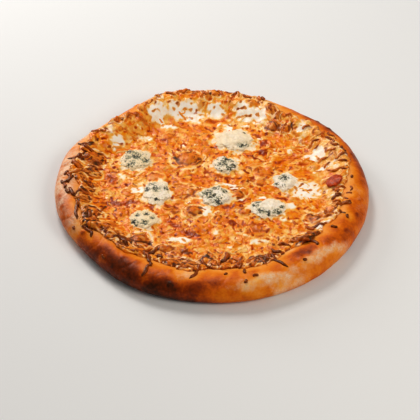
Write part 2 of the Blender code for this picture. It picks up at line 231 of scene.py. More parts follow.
def highest(*layers):
    """The largest of several values at each point."""
    return np.maximum.reduce(layers)


# %% [markdown]
# ## Helpers for meshes
# A piece is started with a bmesh operator, then its points are moved in one go as an array.
# Vertex attributes carry what the finish needs to know about each spot.

# %% Mesh helpers
def new_piece(name, bm):
    """An object from a bmesh, linked to the scene."""
    mesh = bpy.data.meshes.new(name)
    bm.to_mesh(mesh)
    bm.free()
    piece = bpy.data.objects.new(name, mesh)
    bpy.context.scene.collection.objects.link(piece)
    return piece


def read_vectors(items, name):
    """One vector of each item, as an array with three columns."""
    vectors = np.empty(3 * len(items), dtype=np.float32)
    items.foreach_get(name, vectors)
    return vectors.reshape(-1, 3).astype(float)


def read_places(mesh):
    return read_vectors(mesh.vertices, "co")


def put_places(mesh, places):
    mesh.vertices.foreach_set("co", places.astype(np.float32).ravel())
    mesh.update()


def put_attribute(mesh, name, values):
    layer = mesh.attributes.new(name, "FLOAT", "POINT")
    layer.data.foreach_set("value", np.asarray(values, dtype=np.float32))


def close_up(piece):
    """Merge doubled points and turn the faces outwards."""
    bm = bmesh.new()
    bm.from_mesh(piece.data)
    bmesh.ops.remove_doubles(bm, verts=bm.verts, dist=0.00001)
    bmesh.ops.recalc_face_normals(bm, faces=bm.faces)
    bm.to_mesh(piece.data)
    bm.free()
    piece.data.shade_smooth()


def settle(piece, node):
    """Say which body the piece rides and which solid it stands for."""
    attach(piece, "root")
    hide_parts(node)
    print(piece.name, len(piece.data.polygons), "faces")


# %% [markdown]
# ## The crust
# A crust is a turned shape that hands have pushed about. It could be sculpted, but a spin is
# exact: a straight upright line of points is spun into a tube, and each row of the tube is then
# sent to its place on the cross-section. The rows crowd together on the rim, which is what shows.

# %% Rows of the crust's cross-section
CRUST_STEPS = 720
CRUST_ROWS = (
    [("under", share) for share in (0.0, 0.5, 0.9)]
    + [("foot", step / 12) for step in range(12)]
    + [("rim", step / 34) for step in range(34)]
    + [("slope", step / 20) for step in range(20)]
    + [("floor", share) for share in (0.0, 0.5, 1.0)]
)


def crust_row(kind, share, angle):
    """Radius and height of one row of the cross-section at each angle."""
    edge = outer_edge(angle)
    crest = edge - CREST_IN
    turn = 0.5 * math.pi * share
    if kind == "under":
        return share * (edge - FOOT_IN), np.zeros_like(angle)
    if kind == "foot":
        height = np.full_like(angle, BULGE_HEIGHT * (1.0 - math.cos(turn)))
        return edge - FOOT_IN * (1.0 - math.sin(turn)), height
    if kind == "rim":
        height = BULGE_HEIGHT + (rim_height(angle) - BULGE_HEIGHT) * math.sin(turn)
        return crest + CREST_IN * math.cos(turn), height
    if kind == "slope":
        radius = crest + (FLAT_RADIUS - crest) * share
        return radius, crust_top(radius, angle)
    return np.full_like(angle, FLAT_RADIUS * (1.0 - share)), np.full_like(angle, DISH_FLOOR)


print("rows of the cross-section:", len(CRUST_ROWS))

# %% Spin the crust
bm = bmesh.new()
line = [bm.verts.new((1.0, 0.0, row)) for row in range(len(CRUST_ROWS))]
edges = [bm.edges.new(pair) for pair in zip(line, line[1:])]
bmesh.ops.spin(bm, geom=line + edges, axis=(0, 0, 1), angle=2 * math.pi, steps=CRUST_STEPS, use_merge=True)
crust = new_piece("baked_crust", bm)

places = read_places(crust.data)
rows = np.rint(places[:, 2]).astype(int)
angles = np.arctan2(places[:, 1], places[:, 0])
for number, (kind, share) in enumerate(CRUST_ROWS):
    chosen = rows == number
    radius, height = crust_row(kind, share, angles[chosen])
    places[chosen] = np.stack(
        [radius * np.cos(angles[chosen]), radius * np.sin(angles[chosen]), height], axis=1
    )
put_places(crust.data, places)
close_up(crust)
print("crust points:", len(crust.data.vertices))

# %% [markdown]
# ## Baked dough
# Dough swells unevenly, creases where it was folded and blisters where steam lifted it. These
# are real moves of the points along their normals, from wide soft swells down to fine wrinkles,
# and none of them reaches the flat underside.

# %% Swells, creases and blisters of the dough
BLISTER_COUNT = 90
dough_random = random.Random(5)
places = read_places(crust.data)
normals = read_vectors(crust.data.vertex_normals, "vector")
free_of_base = smooth(0.5 * MM, 6.0 * MM, places[:, 2])
swell = 0.9 * MM * grain(places, 34 * MM, 3.0)
swell += 0.45 * MM * grain(places, 13 * MM, 11.0)
wrinkle = grain(places * (1.0, 1.0, 1.8), 4.0 * MM, 21.0)
swell += 0.12 * MM * wrinkle + 0.05 * MM * grain(places, 1.6 * MM, 31.0)
crease = np.abs(grain(places * (1.0, 1.0, 0.5), 22 * MM, 41.0))
swell -= 0.5 * MM * (1.0 - smooth(0.0, 0.07, crease))

dough_blister = np.zeros(len(places))
for _ in range(BLISTER_COUNT):
    angle = dough_random.uniform(-math.pi, math.pi)
    inward = dough_random.uniform(1.0, 20.0) * MM
    size = dough_random.uniform(1.2, 4.2) * MM
    rise = dough_random.uniform(0.12, 0.3) * size
    radius = one_angle(outer_edge, angle) - inward
    height = float(crust_top(np.array([radius]), np.array([angle]))[0])
    centre = np.array([*place_at(radius, angle), height])
    away = np.linalg.norm(places - centre, axis=1) / size
    bump = np.clip(1.0 - away * away, 0.0, 1.0)
    dough_blister = np.maximum(dough_blister, np.sqrt(bump) * bump * rise / (1.2 * MM))
    swell += rise * bump * bump
places += normals * (swell * free_of_base)[:, None]
put_places(crust.data, places)
print("highest swell, mm:", round(float(swell.max()) / MM, 1))

# %% [markdown]
# ## How brown the dough is
# The oven browns what stands up and faces outwards most, in drifts, and the front left and the foot are
# darkened further as painted shade. The finish reads one number for each point, from pale to burnt, and
# one for the paler stretch marks together with a painted sheen on the left rim.

# %% Pale drifts, painted sheen, and dark drifts with painted shade of the dough
# x and y in cm, half sizes in mm, turn in degrees, strength
PALE_DOUGH = (
    (4.9, -13.5, 30, 6, 13, 1.0), (10.2, -10.1, 26, 6, 38, 1.0), (7.6, -12.3, 9, 5, 25, 0.6),
    (13.6, -1.5, 9, 40, 5, 0.35), (-2.2, -12.9, 10, 5, 50, 0.5), (6.5, -9.5, 12, 5, -10, 0.4),
)
# painted sheen: the left rim's colour is made pale where the light from the rear left shines on it
SHEEN_ON_DOUGH = (
    (-14.1, 1.0, 11, 50, -2, 1.0), (-12.6, 7.6, 9, 34, -35, 0.95), (-13.2, -5.6, 12, 26, 24, 0.5),
)
# painted shade: the rows at the front left darken the side turned away from the lights; the other rows are
# browner baked dough
DARK_DOUGH_AND_SHADE = (
    (8.9, -9.8, 34, 8, 36, 0.36), (12.6, -7.4, 10, 18, -25, 0.3), (-6.5, -14.0, 34, 9, -20, 0.8),
    (-11.4, -10.6, 16, 40, 40, 1.0), (-8.4, -13.0, 40, 14, -36, 1.0),
    (-9.0, -11.0, 26, 12, -40, 0.6), (-0.3, -14.2, 24, 6, 0, 0.2), (13.9, 4.0, 12, 40, 15, 0.68),
    (11.5, 9.0, 40, 14, -50, 0.68), (13.6, -4.6, 9, 22, 5, 0.45), (12.0, -6.3, 12, 8, 40, 0.35),
    (-13.9, -2.0, 14, 70, 0, 0.4), (-14.6, 2.0, 10, 60, 0, 0.3), (0.0, 15.0, 70, 9, 0, 0.6),
    (-4.5, -14.2, 40, 8, -12, 0.9), (-8.6, -11.8, 50, 16, -40, 0.9),
)
angles = np.arctan2(places[:, 1], places[:, 0])
warped_x, warped_y = wander(places, 16 * MM, 5 * MM, 51.0)
pale = ellipse_field(warped_x, warped_y, PALE_DOUGH, 0.7)
dark = ellipse_field(warped_x, warped_y, DARK_DOUGH_AND_SHADE, 0.8)
painted_sheen = ellipse_field(warped_x, warped_y, SHEEN_ON_DOUGH, 0.8)
print("share of dark dough:", round(float((dark > 0.5).mean()), 2))

# %% [markdown]
# ## Shreds and crumbs on the rim
# Stray shreds of cheese fell on the rim and baked there, and the dough right beside them
# stayed paler. So they are listed before the dough gets its tones: the long ones are drawn
# into the cheese further down and stand up from it as rods, and so do the short crumbs.

# %% Shreds and crumbs that stand out
# x and y of both ends in cm, bend in mm, half width in mm, toast
LONG_SHREDS = (
    (5.4, -9.6, 6.7, -12.2, -3, 1.5, 0.86), (-1.1, -11.2, -1.9, -13.6, 2, 1.6, 0.86),
    (-12.0, 3.6, -14.2, 3.4, 3, 1.5, 0.8), (-12.3, 5.3, -13.2, 5.6, 1, 1.4, 0.85),
    (-12.6, 2.0, -13.6, 2.4, 0, 1.8, 0.75), (-13.9, 0.9, -13.7, -0.6, 2, 1.7, 0.86),
    (-13.3, 0.2, -14.3, -0.5, 1, 1.5, 0.86), (-14.0, -0.6, -13.9, -1.4, 1, 1.5, 0.86),
    (-13.6, -1.4, -12.9, -2.5, 1, 1.8, 0.86), (-12.5, -3.4, -12.3, -5.8, -2, 1.7, 0.86),
    (9.0, -8.4, 9.5, -9.4, 1, 1.9, 0.86), (11.6, -3.5, 13.0, -3.7, 0, 2.0, 0.8),
    (12.6, -0.3, 13.1, -0.7, 1, 1.4, 0.75), (13.2, -1.0, 13.0, -1.7, 1, 1.3, 0.7),
    (12.7, -1.9, 13.2, -2.3, 1, 1.3, 0.75), (12.3, -2.6, 12.8, -3.0, 0, 1.4, 0.7),
    (11.7, -1.9, 12.2, -2.3, 0, 1.2, 0.7), (11.8, -4.6, 12.5, -5.0, 0, 1.4, 0.8),
    (9.7, 5.6, 10.7, 6.1, 3, 1.3, 0.65), (10.7, 6.1, 10.1, 5.2, 2, 1.2, 0.5),
    (11.2, 6.3, 12.1, 5.2, 2, 1.3, 0.7), (10.3, 3.2, 11.4, 3.7, 2, 1.3, 0.6),
    (11.0, 2.3, 11.6, 2.9, 1, 1.3, 0.6), (12.3, 1.6, 13.0, 1.1, 1, 1.2, 0.7),
    (12.3, 2.6, 13.0, 2.3, 1, 1.2, 0.7), (10.8, -4.3, 11.3, -5.0, 0, 2.1, 0.6),
    (12.6, 4.5, 13.1, 3.9, 0, 1.3, 0.85), (12.8, 4.9, 12.6, 4.3, 0, 1.3, 0.86),
    (12.2, 6.3, 11.6, 7.2, 1, 1.5, 0.7), (12.4, -0.6, 12.8, -1.4, 1, 1.4, 0.7),
    (-6.0, -10.0, -5.5, -11.6, 1, 1.8, 0.86), (-5.4, -11.9, -6.1, -13.1, -1, 1.8, 0.86),
    (4.3, -10.1, 4.7, -11.2, 3, 1.9, 0.85), (1.9, -10.2, 2.4, -12.0, 4, 1.4, 0.75),
    (-11.7, -7.0, -10.9, -8.2, 2, 1.8, 0.86), (-8.6, -8.1, -7.6, -9.4, 2, 1.9, 0.86),
    (-10.4, -4.0, -9.8, -3.0, 1, 1.5, 0.86),
)
# x and y in cm, length in mm, turn in degrees: crumbs on the bare rim, shared with the solids
RIM_CRUMBS = (
    (3.0, -13.9, 4.5, 60), (3.9, -13.3, 6.0, 35), (1.3, -12.9, 5.0, 70), (2.9, -12.6, 7.0, 100),
    (-5.9, -12.6, 8.0, 75), (-5.4, -11.9, 5.0, 100), (11.2, -6.9, 6.0, 150), (12.5, -5.5, 4.0, 90),
    (12.6, -3.5, 8.0, 175), (13.4, 0.3, 4.0, 60), (-13.9, 0.9, 6.0, 60), (-14.1, -0.3, 7.0, 120),
    (-13.6, -1.8, 8.0, 130), (8.3, -11.4, 4.0, 20), (-9.6, -10.4, 5.0, 130),
    (-12.6, -6.6, 5.0, 110),
)


def nearest_shred(x, y):
    """Distance in the plan to the nearest listed shred or crumb."""
    nearest = np.full_like(x, RADIUS)
    ends = [(x1 * CM, y1 * CM, x2 * CM, y2 * CM) for x1, y1, x2, y2, *_ in LONG_SHREDS]
    for at_x, at_y, length, turn in RIM_CRUMBS:
        half_x = 0.5 * length * MM * math.cos(math.radians(turn))
        half_y = 0.5 * length * MM * math.sin(math.radians(turn))
        ends.append((at_x * CM - half_x, at_y * CM - half_y, at_x * CM + half_x, at_y * CM + half_y))
    for start_x, start_y, end_x, end_y in ends:
        run_x = end_x - start_x
        run_y = end_y - start_y
        share = ((x - start_x) * run_x + (y - start_y) * run_y) / (run_x * run_x + run_y * run_y)
        share = np.clip(share, 0.0, 1.0)
        nearest = np.minimum(nearest, np.hypot(x - start_x - share * run_x, y - start_y - share * run_y))
    return nearest


print("shreds and crumbs placed by hand:", len(LONG_SHREDS) + len(RIM_CRUMBS))

# %% Brownness, stretch marks and painted sheen of the dough
past_cheese = np.hypot(places[:, 0], places[:, 1]) - fringed_edge(angles)
to_shred = nearest_shred(warped_x, warped_y)
brown = 0.48 + 0.10 * grain(places, 30 * MM, 61.0) + 0.11 * grain(places, 9 * MM, 71.0)
brown += 0.05 * grain(places, 3.0 * MM, 81.0)
brown += 0.08 * smooth(10 * MM, 21 * MM, places[:, 2])
# painted shade: the lower wall is made browner towards the foot
brown += 0.12 * (1.0 - smooth(3 * MM, 12 * MM, places[:, 2]))
# the dark drifts carry browner dough and, at the front left, painted shade
brown += 0.46 * dark - 0.26 * pale - 0.08 * painted_sheen + 0.20 * dough_blister
halo = np.maximum(bell(past_cheese, 0.0, 8.0 * MM), 0.8 * bell(to_shred, 0.0, 4.5 * MM))
brown -= 0.28 * halo
put_attribute(crust.data, "brown", np.clip(brown, 0.0, 1.0))
streaks = grain(places, 5 * MM, 91.0) + 0.6 * grain(places, 2.2 * MM, 93.0)
mottle = grain(places, 9 * MM, 95.0)
# pale stretch marks and the painted sheen on the left rim, broken up by streaks and mottling
pale_marks_and_sheen = np.maximum(0.8 * pale, painted_sheen) * (0.8 + 0.6 * streaks + 0.7 * mottle)
put_attribute(crust.data, "pale_marks_and_sheen", np.clip(pale_marks_and_sheen, 0.0, 1.0))
print("mean brownness:", round(float(brown.mean()), 2))

# %% [markdown]
# ## Helpers for finishes
# A finish is a small tree of nodes. These helpers keep each tree short: one makes the
# material, one adds a node with its settings, others mix colours, add noise or set the shader.
# Numbers that are the same all over a piece are set straight on the shader's own sockets.

# %% Node helpers
class Finish:
    """A material and its node tree, with short ways to add nodes."""

    def __init__(self, name, roughness, specular=0.5):
        self.material = bpy.data.materials.new(name)
        self.material.use_nodes = True
        self.tree = self.material.node_tree
        self.shader = self.tree.nodes["Principled BSDF"]
        self.set("Roughness", roughness)
        self.set("Specular IOR Level", specular)
        self.where = self.tree.nodes.new("ShaderNodeTexCoord").outputs["Object"]

    def node(self, kind, inputs=(), **settings):
        node = self.tree.nodes.new(kind)
        for name, value in settings.items():
            setattr(node, name, value)
        for socket, value in dict(inputs).items():
            self.feed(node.inputs[socket], value)
        return node

    def feed(self, socket, value):
        """Link a node's output to a socket, or set the socket's own value."""
        if isinstance(value, bpy.types.NodeSocket):
            self.tree.links.new(value, socket)
        else:
            socket.default_value = value

    def set(self, name, value):
        """Link or set one socket of the shader."""
        self.feed(self.shader.inputs[name], value)

    def attribute(self, name):
        return self.node("ShaderNodeAttribute", attribute_name=name).outputs["Fac"]

    def noise(self, size, detail=2.0, roughness=0.5):
        inputs = {"Vector": self.where, "Scale": 1.0 / size, "Detail": detail, "Roughness": roughness}
        return self.node("ShaderNodeTexNoise", inputs).outputs["Fac"]

    def step(self, value, low, high, out_low=0.0, out_high=1.0):
        inputs = {"Value": value, "From Min": low, "From Max": high, "To Min": out_low, "To Max": out_high}
        return self.node("ShaderNodeMapRange", inputs).outputs["Result"]

    def combine(self, first, second, operation="ADD"):
        return self.node("ShaderNodeMath", {0: first, 1: second}, operation=operation).outputs[0]

    def times(self, first, second):
        return self.combine(first, second, "MULTIPLY")

    def frayed(self, name, speck, reach):
        """An attribute with a fine noise added, so that its borders look ragged."""
        return self.combine(self.attribute(name), self.step(speck, 0.3, 0.7, -reach, reach))

    def mix(self, share, first, second):
        return self.node("ShaderNodeMix", {0: share, 6: first, 7: second}, data_type="RGBA").outputs[2]

    def cover(self, colour, share, low, high, top):
        """Lay a second colour over the first while the share climbs from low to high."""
        return self.mix(self.step(share, low, high), colour, top)

    def ramp(self, value, stops):
        node = self.node("ShaderNodeValToRGB", {"Fac": value})
        elements = node.color_ramp.elements
        while len(elements) < len(stops):
            elements.new(1.0)
        for element, (place, colour) in zip(elements, stops):
            element.position = place
            element.color = colour
        return node.outputs["Color"]

    def bump(self, height, distance):
        node = self.node("ShaderNodeBump", {"Height": height, "Distance": distance})
        self.set("Normal", node.outputs["Normal"])


def tint(red, green, blue):
    """A colour as a picture shows it, 0 to 255, turned to the linear light that shaders use."""
    def linear(value):
        share = value / 255.0
        return share / 12.92 if share <= 0.04045 else ((share + 0.055) / 1.055) ** 2.4
    return (linear(red), linear(green), linear(blue), 1.0)


# %% [markdown]
# ## Finish of the crust
# The brown attribute runs through a ramp from pale dough to nearly burnt. Fine noise breaks it up, the
# stretch marks and the painted sheen on the left rim turn paler, and a bump gives the skin its pores.

# %% Crust finish
CRUST_STOPS = (
    (0.0, tint(250, 204, 138)),
    (0.22, tint(242, 164, 72)),
    (0.45, tint(228, 130, 16)),
    (0.62, tint(206, 98, 2)),
    (0.80, tint(140, 54, 2)),
    (1.0, tint(66, 28, 4)),
)
skin = Finish("baked_dough", 0.4, 0.15)
colour = skin.ramp(skin.frayed("brown", skin.noise(2.2 * MM, 3.0), 0.05), CRUST_STOPS)
pale_and_sheen_share = skin.step(skin.times(skin.attribute("pale_marks_and_sheen"), skin.noise(1.4 * MM)), 0.08, 0.6)
# painted sheen and stretch marks: a pale colour is laid over the dough where they are
skin.set("Base Color", skin.mix(skin.times(pale_and_sheen_share, 0.9), colour, tint(236, 208, 180)))
skin.set("Roughness", skin.step(skin.noise(7 * MM), 0.3, 0.7, 0.34, 0.52))
pores = skin.combine(skin.noise(0.9 * MM, 3.0, 0.6), skin.times(skin.noise(3.5 * MM), 1.5))
skin.bump(pores, 0.22 * MM)
skin.set("Coat Weight", 0.08)
skin.set("Coat Roughness", 0.45)
skin.set("Subsurface Weight", 0.04)
skin.set("Subsurface Radius", (0.004, 0.002, 0.001))
crust.data.materials.append(skin.material)
settle(crust, "crust")

# %% [markdown]
# ## Melted cheese: the sheet
# The sheet is one closed skin. A square grid, bent into a round disc ring by ring, gives cells of
# the same size all over, which a spin could not: its cells crowd at the middle. The border is then
# extruded down to the crust and in under the sheet, and the last ring is filled.

# %% Lay out the sheet
SHEET_CELLS = 300
SKIRT_ROWS = 4
bm = bmesh.new()
bmesh.ops.create_grid(bm, x_segments=SHEET_CELLS, y_segments=SHEET_CELLS, size=1.0)
border = [edge for edge in bm.edges if edge.is_boundary]
for number in range(SKIRT_ROWS):
    made = bmesh.ops.extrude_edge_only(bm, edges=border)["geom"]
    for item in made:
        if isinstance(item, bmesh.types.BMVert):
            item.co.z = -1.0 - number
    border = [item for item in made if isinstance(item, bmesh.types.BMEdge) and item.is_boundary]
bmesh.ops.contextual_create(bm, geom=border)
sheet = new_piece("melted_cheese", bm)
print("sheet faces:", len(sheet.data.polygons))

# %% [markdown]
# ## Bending the square into a disc
# Each square ring of the grid becomes a ring of the disc, reached by its angle and its share of
# the way out to the frayed edge. The skirt below the border runs down and in under the sheet.

# %% Bend the sheet
places = read_places(sheet.data)
row = -places[:, 2]
x = places[:, 0]
y = places[:, 1]
reach = highest(np.abs(x), np.abs(y))
wide = np.abs(x) >= np.abs(y)
safe_x = np.where(np.abs(x) > 1e-9, x, 1e-9)
safe_y = np.where(np.abs(y) > 1e-9, y, 1e-9)
angle = np.where(wide, 0.25 * math.pi * y / safe_x, 0.5 * math.pi - 0.25 * math.pi * x / safe_y)
signed = np.where(wide, x, y)
sheet_x = signed * np.cos(angle)
sheet_y = signed * np.sin(angle)
sheet_angle = np.arctan2(sheet_y, sheet_x)
edge = fringed_edge(sheet_angle)
under = row > 0.5
inward = np.clip((row - 1.0) / (SKIRT_ROWS - 1.0), 0.0, 1.0)
radius = np.where(under, edge + (FLAT_RADIUS - edge) * inward, reach * edge)
sheet_x = radius * np.cos(sheet_angle)
sheet_y = radius * np.sin(sheet_angle)
from_edge = edge - radius
print("sheet points:", len(places), "cell, mm:", round(2000 * CHEESE_RADIUS / SHEET_CELLS, 2))

# %% [markdown]
# ## Tones of the melted shreds
# The pizza carries several cheeses: mild ones melt to milky pools and others toast. A shred
# takes its tone from the pools and the toasted areas where it lies, and the sheet between the
# shreds reads the same two tables later on.

# %% Milky pools and toasted areas
# x and y in cm, half sizes in mm, turn in degrees, strength
MILK_POOLS = (
    (-1.9, 11.3, 9, 15, 25, 1.0), (-3.4, 11.6, 11, 11, 0, 1.0), (3.3, 11.2, 10, 14, 20, 1.0),
    (4.8, 10.7, 9, 10, 0, 0.95), (-5.4, 10.9, 10, 13, 0, 1.0), (0.5, 11.6, 10, 10, 0, 0.95),
    (-4.4, 9.3, 10, 5, 10, 0.85), (-9.4, 6.4, 6, 9, -20, 1.0), (-10.4, 7.6, 8, 6, 30, 0.7),
    (8.9, -0.7, 15, 13, 0, 1.0), (7.6, 1.0, 9, 5, -10, 0.9), (-2.9, -7.7, 13, 3.5, -5, 1.0),
    (10.2, -6.5, 6, 9, -35, 1.0), (10.3, 4.4, 12, 8, 10, 1.0), (10.6, 2.4, 11, 2.5, 35, 0.9),
    (12.9, -2.4, 4, 9, 0, 0.8), (7.6, 5.2, 4, 5, 0, 0.7), (9.0, 8.0, 6, 8, 40, 0.7),
    (1.7, 9.3, 4, 6, 0, 0.9), (0.8, 9.4, 3, 3, 0, 0.8), (3.4, 9.4, 5, 3, 0, 0.7),
    (-3.9, 9.2, 7, 5, 20, 0.75), (-7.2, 8.9, 6, 6, 0, 0.5), (-8.6, 1.2, 7, 9, 20, 0.6),
    (1.9, -0.1, 13, 3.5, -12, 1.0), (-0.5, -3.8, 5, 7, 0, 0.85), (4.8, -1.8, 6, 3, -10, 0.9),
    (6.7, -4.9, 5, 2.5, 0, 0.8), (1.9, 8.6, 4, 7, 0, 0.95), (2.8, 8.5, 4, 6, 0, 0.8),
    (-6.6, 7.4, 8, 6, 0, 0.7), (2.5, 4.0, 12, 5, -10, 0.6), (-7.0, -0.6, 7, 6, 0, 0.95),
    (7.5, -3.0, 4, 8, 0, 0.8), (0.5, -6.8, 6, 5, 0, 0.6), (4.3, -8.0, 11, 4, 10, 0.7),
    (1.6, -8.8, 6, 4, 10, 0.6), (11.6, -1.9, 6, 7, 0, 0.55), (-9.7, -1.6, 5, 4, 0, 0.6),
    (9.2, 7.2, 8, 10, 35, 0.5),
)
TOASTED = (
    (-2.9, -5.8, 8, 2.2, -48, 1.0), (-4.7, -7.3, 9, 2.2, -18, 0.8), (-11.4, 3.7, 12, 9, 10, 0.85),
    (-11.5, 1.5, 8, 9, 0, 0.8), (-2.4, 4.1, 20, 11, 10, 0.5), (-1.3, -1.1, 6, 10, 0, 0.6),
    (-1.6, -3.7, 8, 5, 0, 0.7), (3.2, -3.5, 6, 7, 0, 0.6), (2.4, -1.4, 9, 4, -10, 0.7),
    (6.1, 9.0, 9, 6, -10, 0.5), (7.4, 8.3, 5, 7, 0, 0.7), (-11.0, -4.6, 9, 10, 0, 0.8),
    (-9.6, -6.4, 13, 8, -20, 0.5), (-6.4, -8.2, 13, 11, 20, 0.95), (-4.3, -9.0, 10, 8, 0, 0.7),
    (8.5, -7.9, 10, 7, -5, 1.0), (7.0, -7.6, 9, 6, 10, 0.65), (9.5, -4.8, 9, 5, -40, 0.85),
    (9.4, -0.6, 6, 7, 0, 0.45), (11.6, 6.5, 8, 12, 25, 0.6), (10.6, 8.4, 9, 12, 30, 0.5),
    (11.2, 2.2, 9, 6, 0, 0.5), (-12.3, -1.2, 14, 34, 0, 0.9), (-9.2, -3.0, 30, 52, 0, 0.3),
    (-12.2, 3.6, 12, 26, -15, 0.75), (-11.0, -6.0, 12, 22, 30, 0.75),
    (-0.5, -10.3, 42, 12, 0, 0.55), (-3.0, -11.2, 22, 8, -5, 0.75), (4.5, -10.4, 16, 9, 10, 0.7),
    (2.5, -5.6, 9, 9, 0, 0.3), (-4.0, -5.5, 14, 9, -20, 0.35), (0.6, -4.6, 8, 4, 0, 0.35),
    (-8.5, -9.0, 11, 7, -30, 0.6), (-6.7, 13.2, 22, 8, 25, 0.6), (0.5, 14.0, 46, 7, 0, 0.85),
    (4.2, 13.0, 10, 4, -10, 0.6), (7.3, 12.0, 20, 8, -35, 0.55), (-10.5, 9.6, 12, 9, 45, 0.5),
    (-1.8, 12.8, 6, 6, 0, 0.35), (5.8, 2.1, 12, 6, -25, 0.25), (4.0, 0.7, 8, 7, 0, 0.3),
)
stroke_random = random.Random(21)


def stroke_tone(x, y):
    """How creamy and how toasted a shred lying at x, y comes out."""
    here_x = np.array([x])
    here_y = np.array([y])
    toast = float(ellipse_field(here_x, here_y, TOASTED, 0.6)[0])
    milk = float(ellipse_field(here_x, here_y, MILK_POOLS, 0.6)[0])
    # painted glare: shreds further back come out creamier, as the back is lit brighter
    far = smooth(0.0, 12 * CM, np.array([y]))[0]
    cream = stroke_random.betavariate(0.6, 1.4) + 0.25 * milk + 0.10 * far
    brown = toast * stroke_random.uniform(0.25, 1.0) + 0.10 * stroke_random.random()
    return min(cream, 1.0), min(brown, 1.0)


print("pools:", len(MILK_POOLS), "toasted areas:", len(TOASTED))

# %% [markdown]
# ## Melted shreds drawn into the sheet
# Grated cheese melts to soft strokes that still lie where they fell. Drawing each one as a
# rounded ridge in the sheet's height, with its own tone, gives hundreds of overlaps in one
# clean skin, where separate strips would only cut through each other.

# %% Strokes of melted cheese
STROKE_COUNT = 560
STROKE_REACH = 12.4 * CM
BROWN_EVERY = 7
inner_strokes = []
for number in range(STROKE_COUNT):
    at = stroke_random.uniform(-math.pi, math.pi)
    at_x, at_y = place_at(STROKE_REACH * math.sqrt(stroke_random.random()), at)
    turn = stroke_random.uniform(-math.pi, math.pi)
    length = stroke_random.uniform(8, 24) * MM
    cream, brown_tone = stroke_tone(at_x, at_y)
    half_width = stroke_random.uniform(1.3, 2.5) * MM
    if number % BROWN_EVERY == 0:
        brown_tone = stroke_random.uniform(0.8, 1.2)
        half_width *= 0.5
    bend = stroke_random.uniform(-0.4, 0.4) * length
    rise = stroke_random.uniform(0.2, 0.65) * MM
    inner_strokes.append((at_x, at_y, turn, length, bend, half_width, rise, cream, brown_tone))
print("strokes inside:", len(inner_strokes))

# %% [markdown]
# ## Strokes of the melted edge
# Along the edge the shreds lie across the rim: first the long ones from their table, then a
# scattered row that points outwards. On the near side they are longer and browner, because
# that side of this pizza caught more of the heat.

# %% Strokes of the edge
EDGE_STROKE_COUNT = 105
NEAR_SIDE = 0.4
edge_strokes = []
for x1, y1, x2, y2, bend, half_width, toast in LONG_SHREDS:
    turn = math.atan2(y2 - y1, x2 - x1)
    length = math.hypot(x2 - x1, y2 - y1) * CM
    edge_strokes.append((0.5 * (x1 + x2) * CM, 0.5 * (y1 + y2) * CM, turn, length, bend * MM,
                         1.35 * half_width * MM, 0.4 * MM, 0.4, 1.1 * toast))
for number in range(EDGE_STROKE_COUNT):
    at = 2.0 * math.pi * (number + stroke_random.random()) / EDGE_STROKE_COUNT
    near_side = math.sin(at) < NEAR_SIDE
    turn = at + stroke_random.uniform(-1.2, 1.2)
    length = stroke_random.uniform(6, 16 if near_side else 11) * MM
    from_middle = one_angle(fringed_edge, at) - stroke_random.uniform(0.2, 0.9) * length - 2.0 * MM
    at_x, at_y = place_at(from_middle, at)
    cream, brown_tone = stroke_tone(at_x, at_y)
    brown_tone = max(brown_tone, stroke_random.uniform(0.3, 0.95 if near_side else 0.7))
    bend = stroke_random.uniform(-0.25, 0.25) * length
    half_width = stroke_random.uniform(1.7, 2.7) * MM
    rise = stroke_random.uniform(0.5, 1.1) * MM
    edge_strokes.append((at_x, at_y, turn, length, bend, half_width, rise, cream, brown_tone))
print("strokes of the edge:", len(edge_strokes))

# %% [markdown]
# ## Laying one stroke over another
# The strokes are drawn in turn into a few fields over the sheet: height, tones and cover. Only
# the points near a stroke are touched, which keeps hundreds of strokes quick. Those inside are
# faded out near the edge before the edge's own strokes are laid over them.

# %% Draw the strokes
BENDS = (6 * MM, 1.8 * MM, 13.0)
stroke_height, stroke_cream, stroke_toast, stroke_cover, stroke_halo = np.zeros((5, len(sheet_x)))
plan = flat_places(sheet_x, sheet_y)
bent_x, bent_y = wander(plan, *BENDS)


def sheet_noise(size, shift):
    """Noise over the sheet's plan, with features about size mm across."""
    return grain(plan, size * MM, shift)


def points_near(at_x, at_y, window, turn):
    """Points of the sheet near a spot, and their distances along and across a direction."""
    near = np.flatnonzero((np.abs(bent_x - at_x) < window) & (np.abs(bent_y - at_y) < window))
    return near, *turned(bent_x[near] - at_x, bent_y[near] - at_y, turn)


def raise_to(field, near, values):
    field[near] = np.maximum(field[near], values)


def draw_strokes(strokes):
    """Lay strokes over what is drawn: each hides what lies under it and has a pale outline."""
    for at_x, at_y, turn, length, bend, half_width, rise, cream, brown_tone in strokes:
        window = 0.5 * length + 2.0 * half_width + abs(bend)
        near, along, across = points_near(at_x, at_y, window, turn)
        share = 2.0 * along / length
        across = across - bend * (1.0 - share * share)
        beyond = np.maximum(np.abs(along) - 0.5 * length, 0.0)
        distance = np.hypot(across, beyond) / half_width
        crown = np.sqrt(np.clip(1.0 - distance * distance, 0.0, 1.0))
        height = rise * crown
        on_top = height > 0.6 * stroke_height[near]
        weight = np.where(on_top, smooth(0.05, 0.65, crown), 0.0)
        raise_to(stroke_height, near, height)
        stroke_cream[near] += (cream - stroke_cream[near]) * weight
        stroke_toast[near] += (brown_tone * (1.25 - 0.5 * crown) - stroke_toast[near]) * weight
        raise_to(stroke_cover, near, weight)
        halo = smooth(0.25, 0.6, brown_tone) * bell(distance, 1.3, 0.25)
        stroke_halo[near] = np.maximum(stroke_halo[near] * (1.0 - weight), halo)


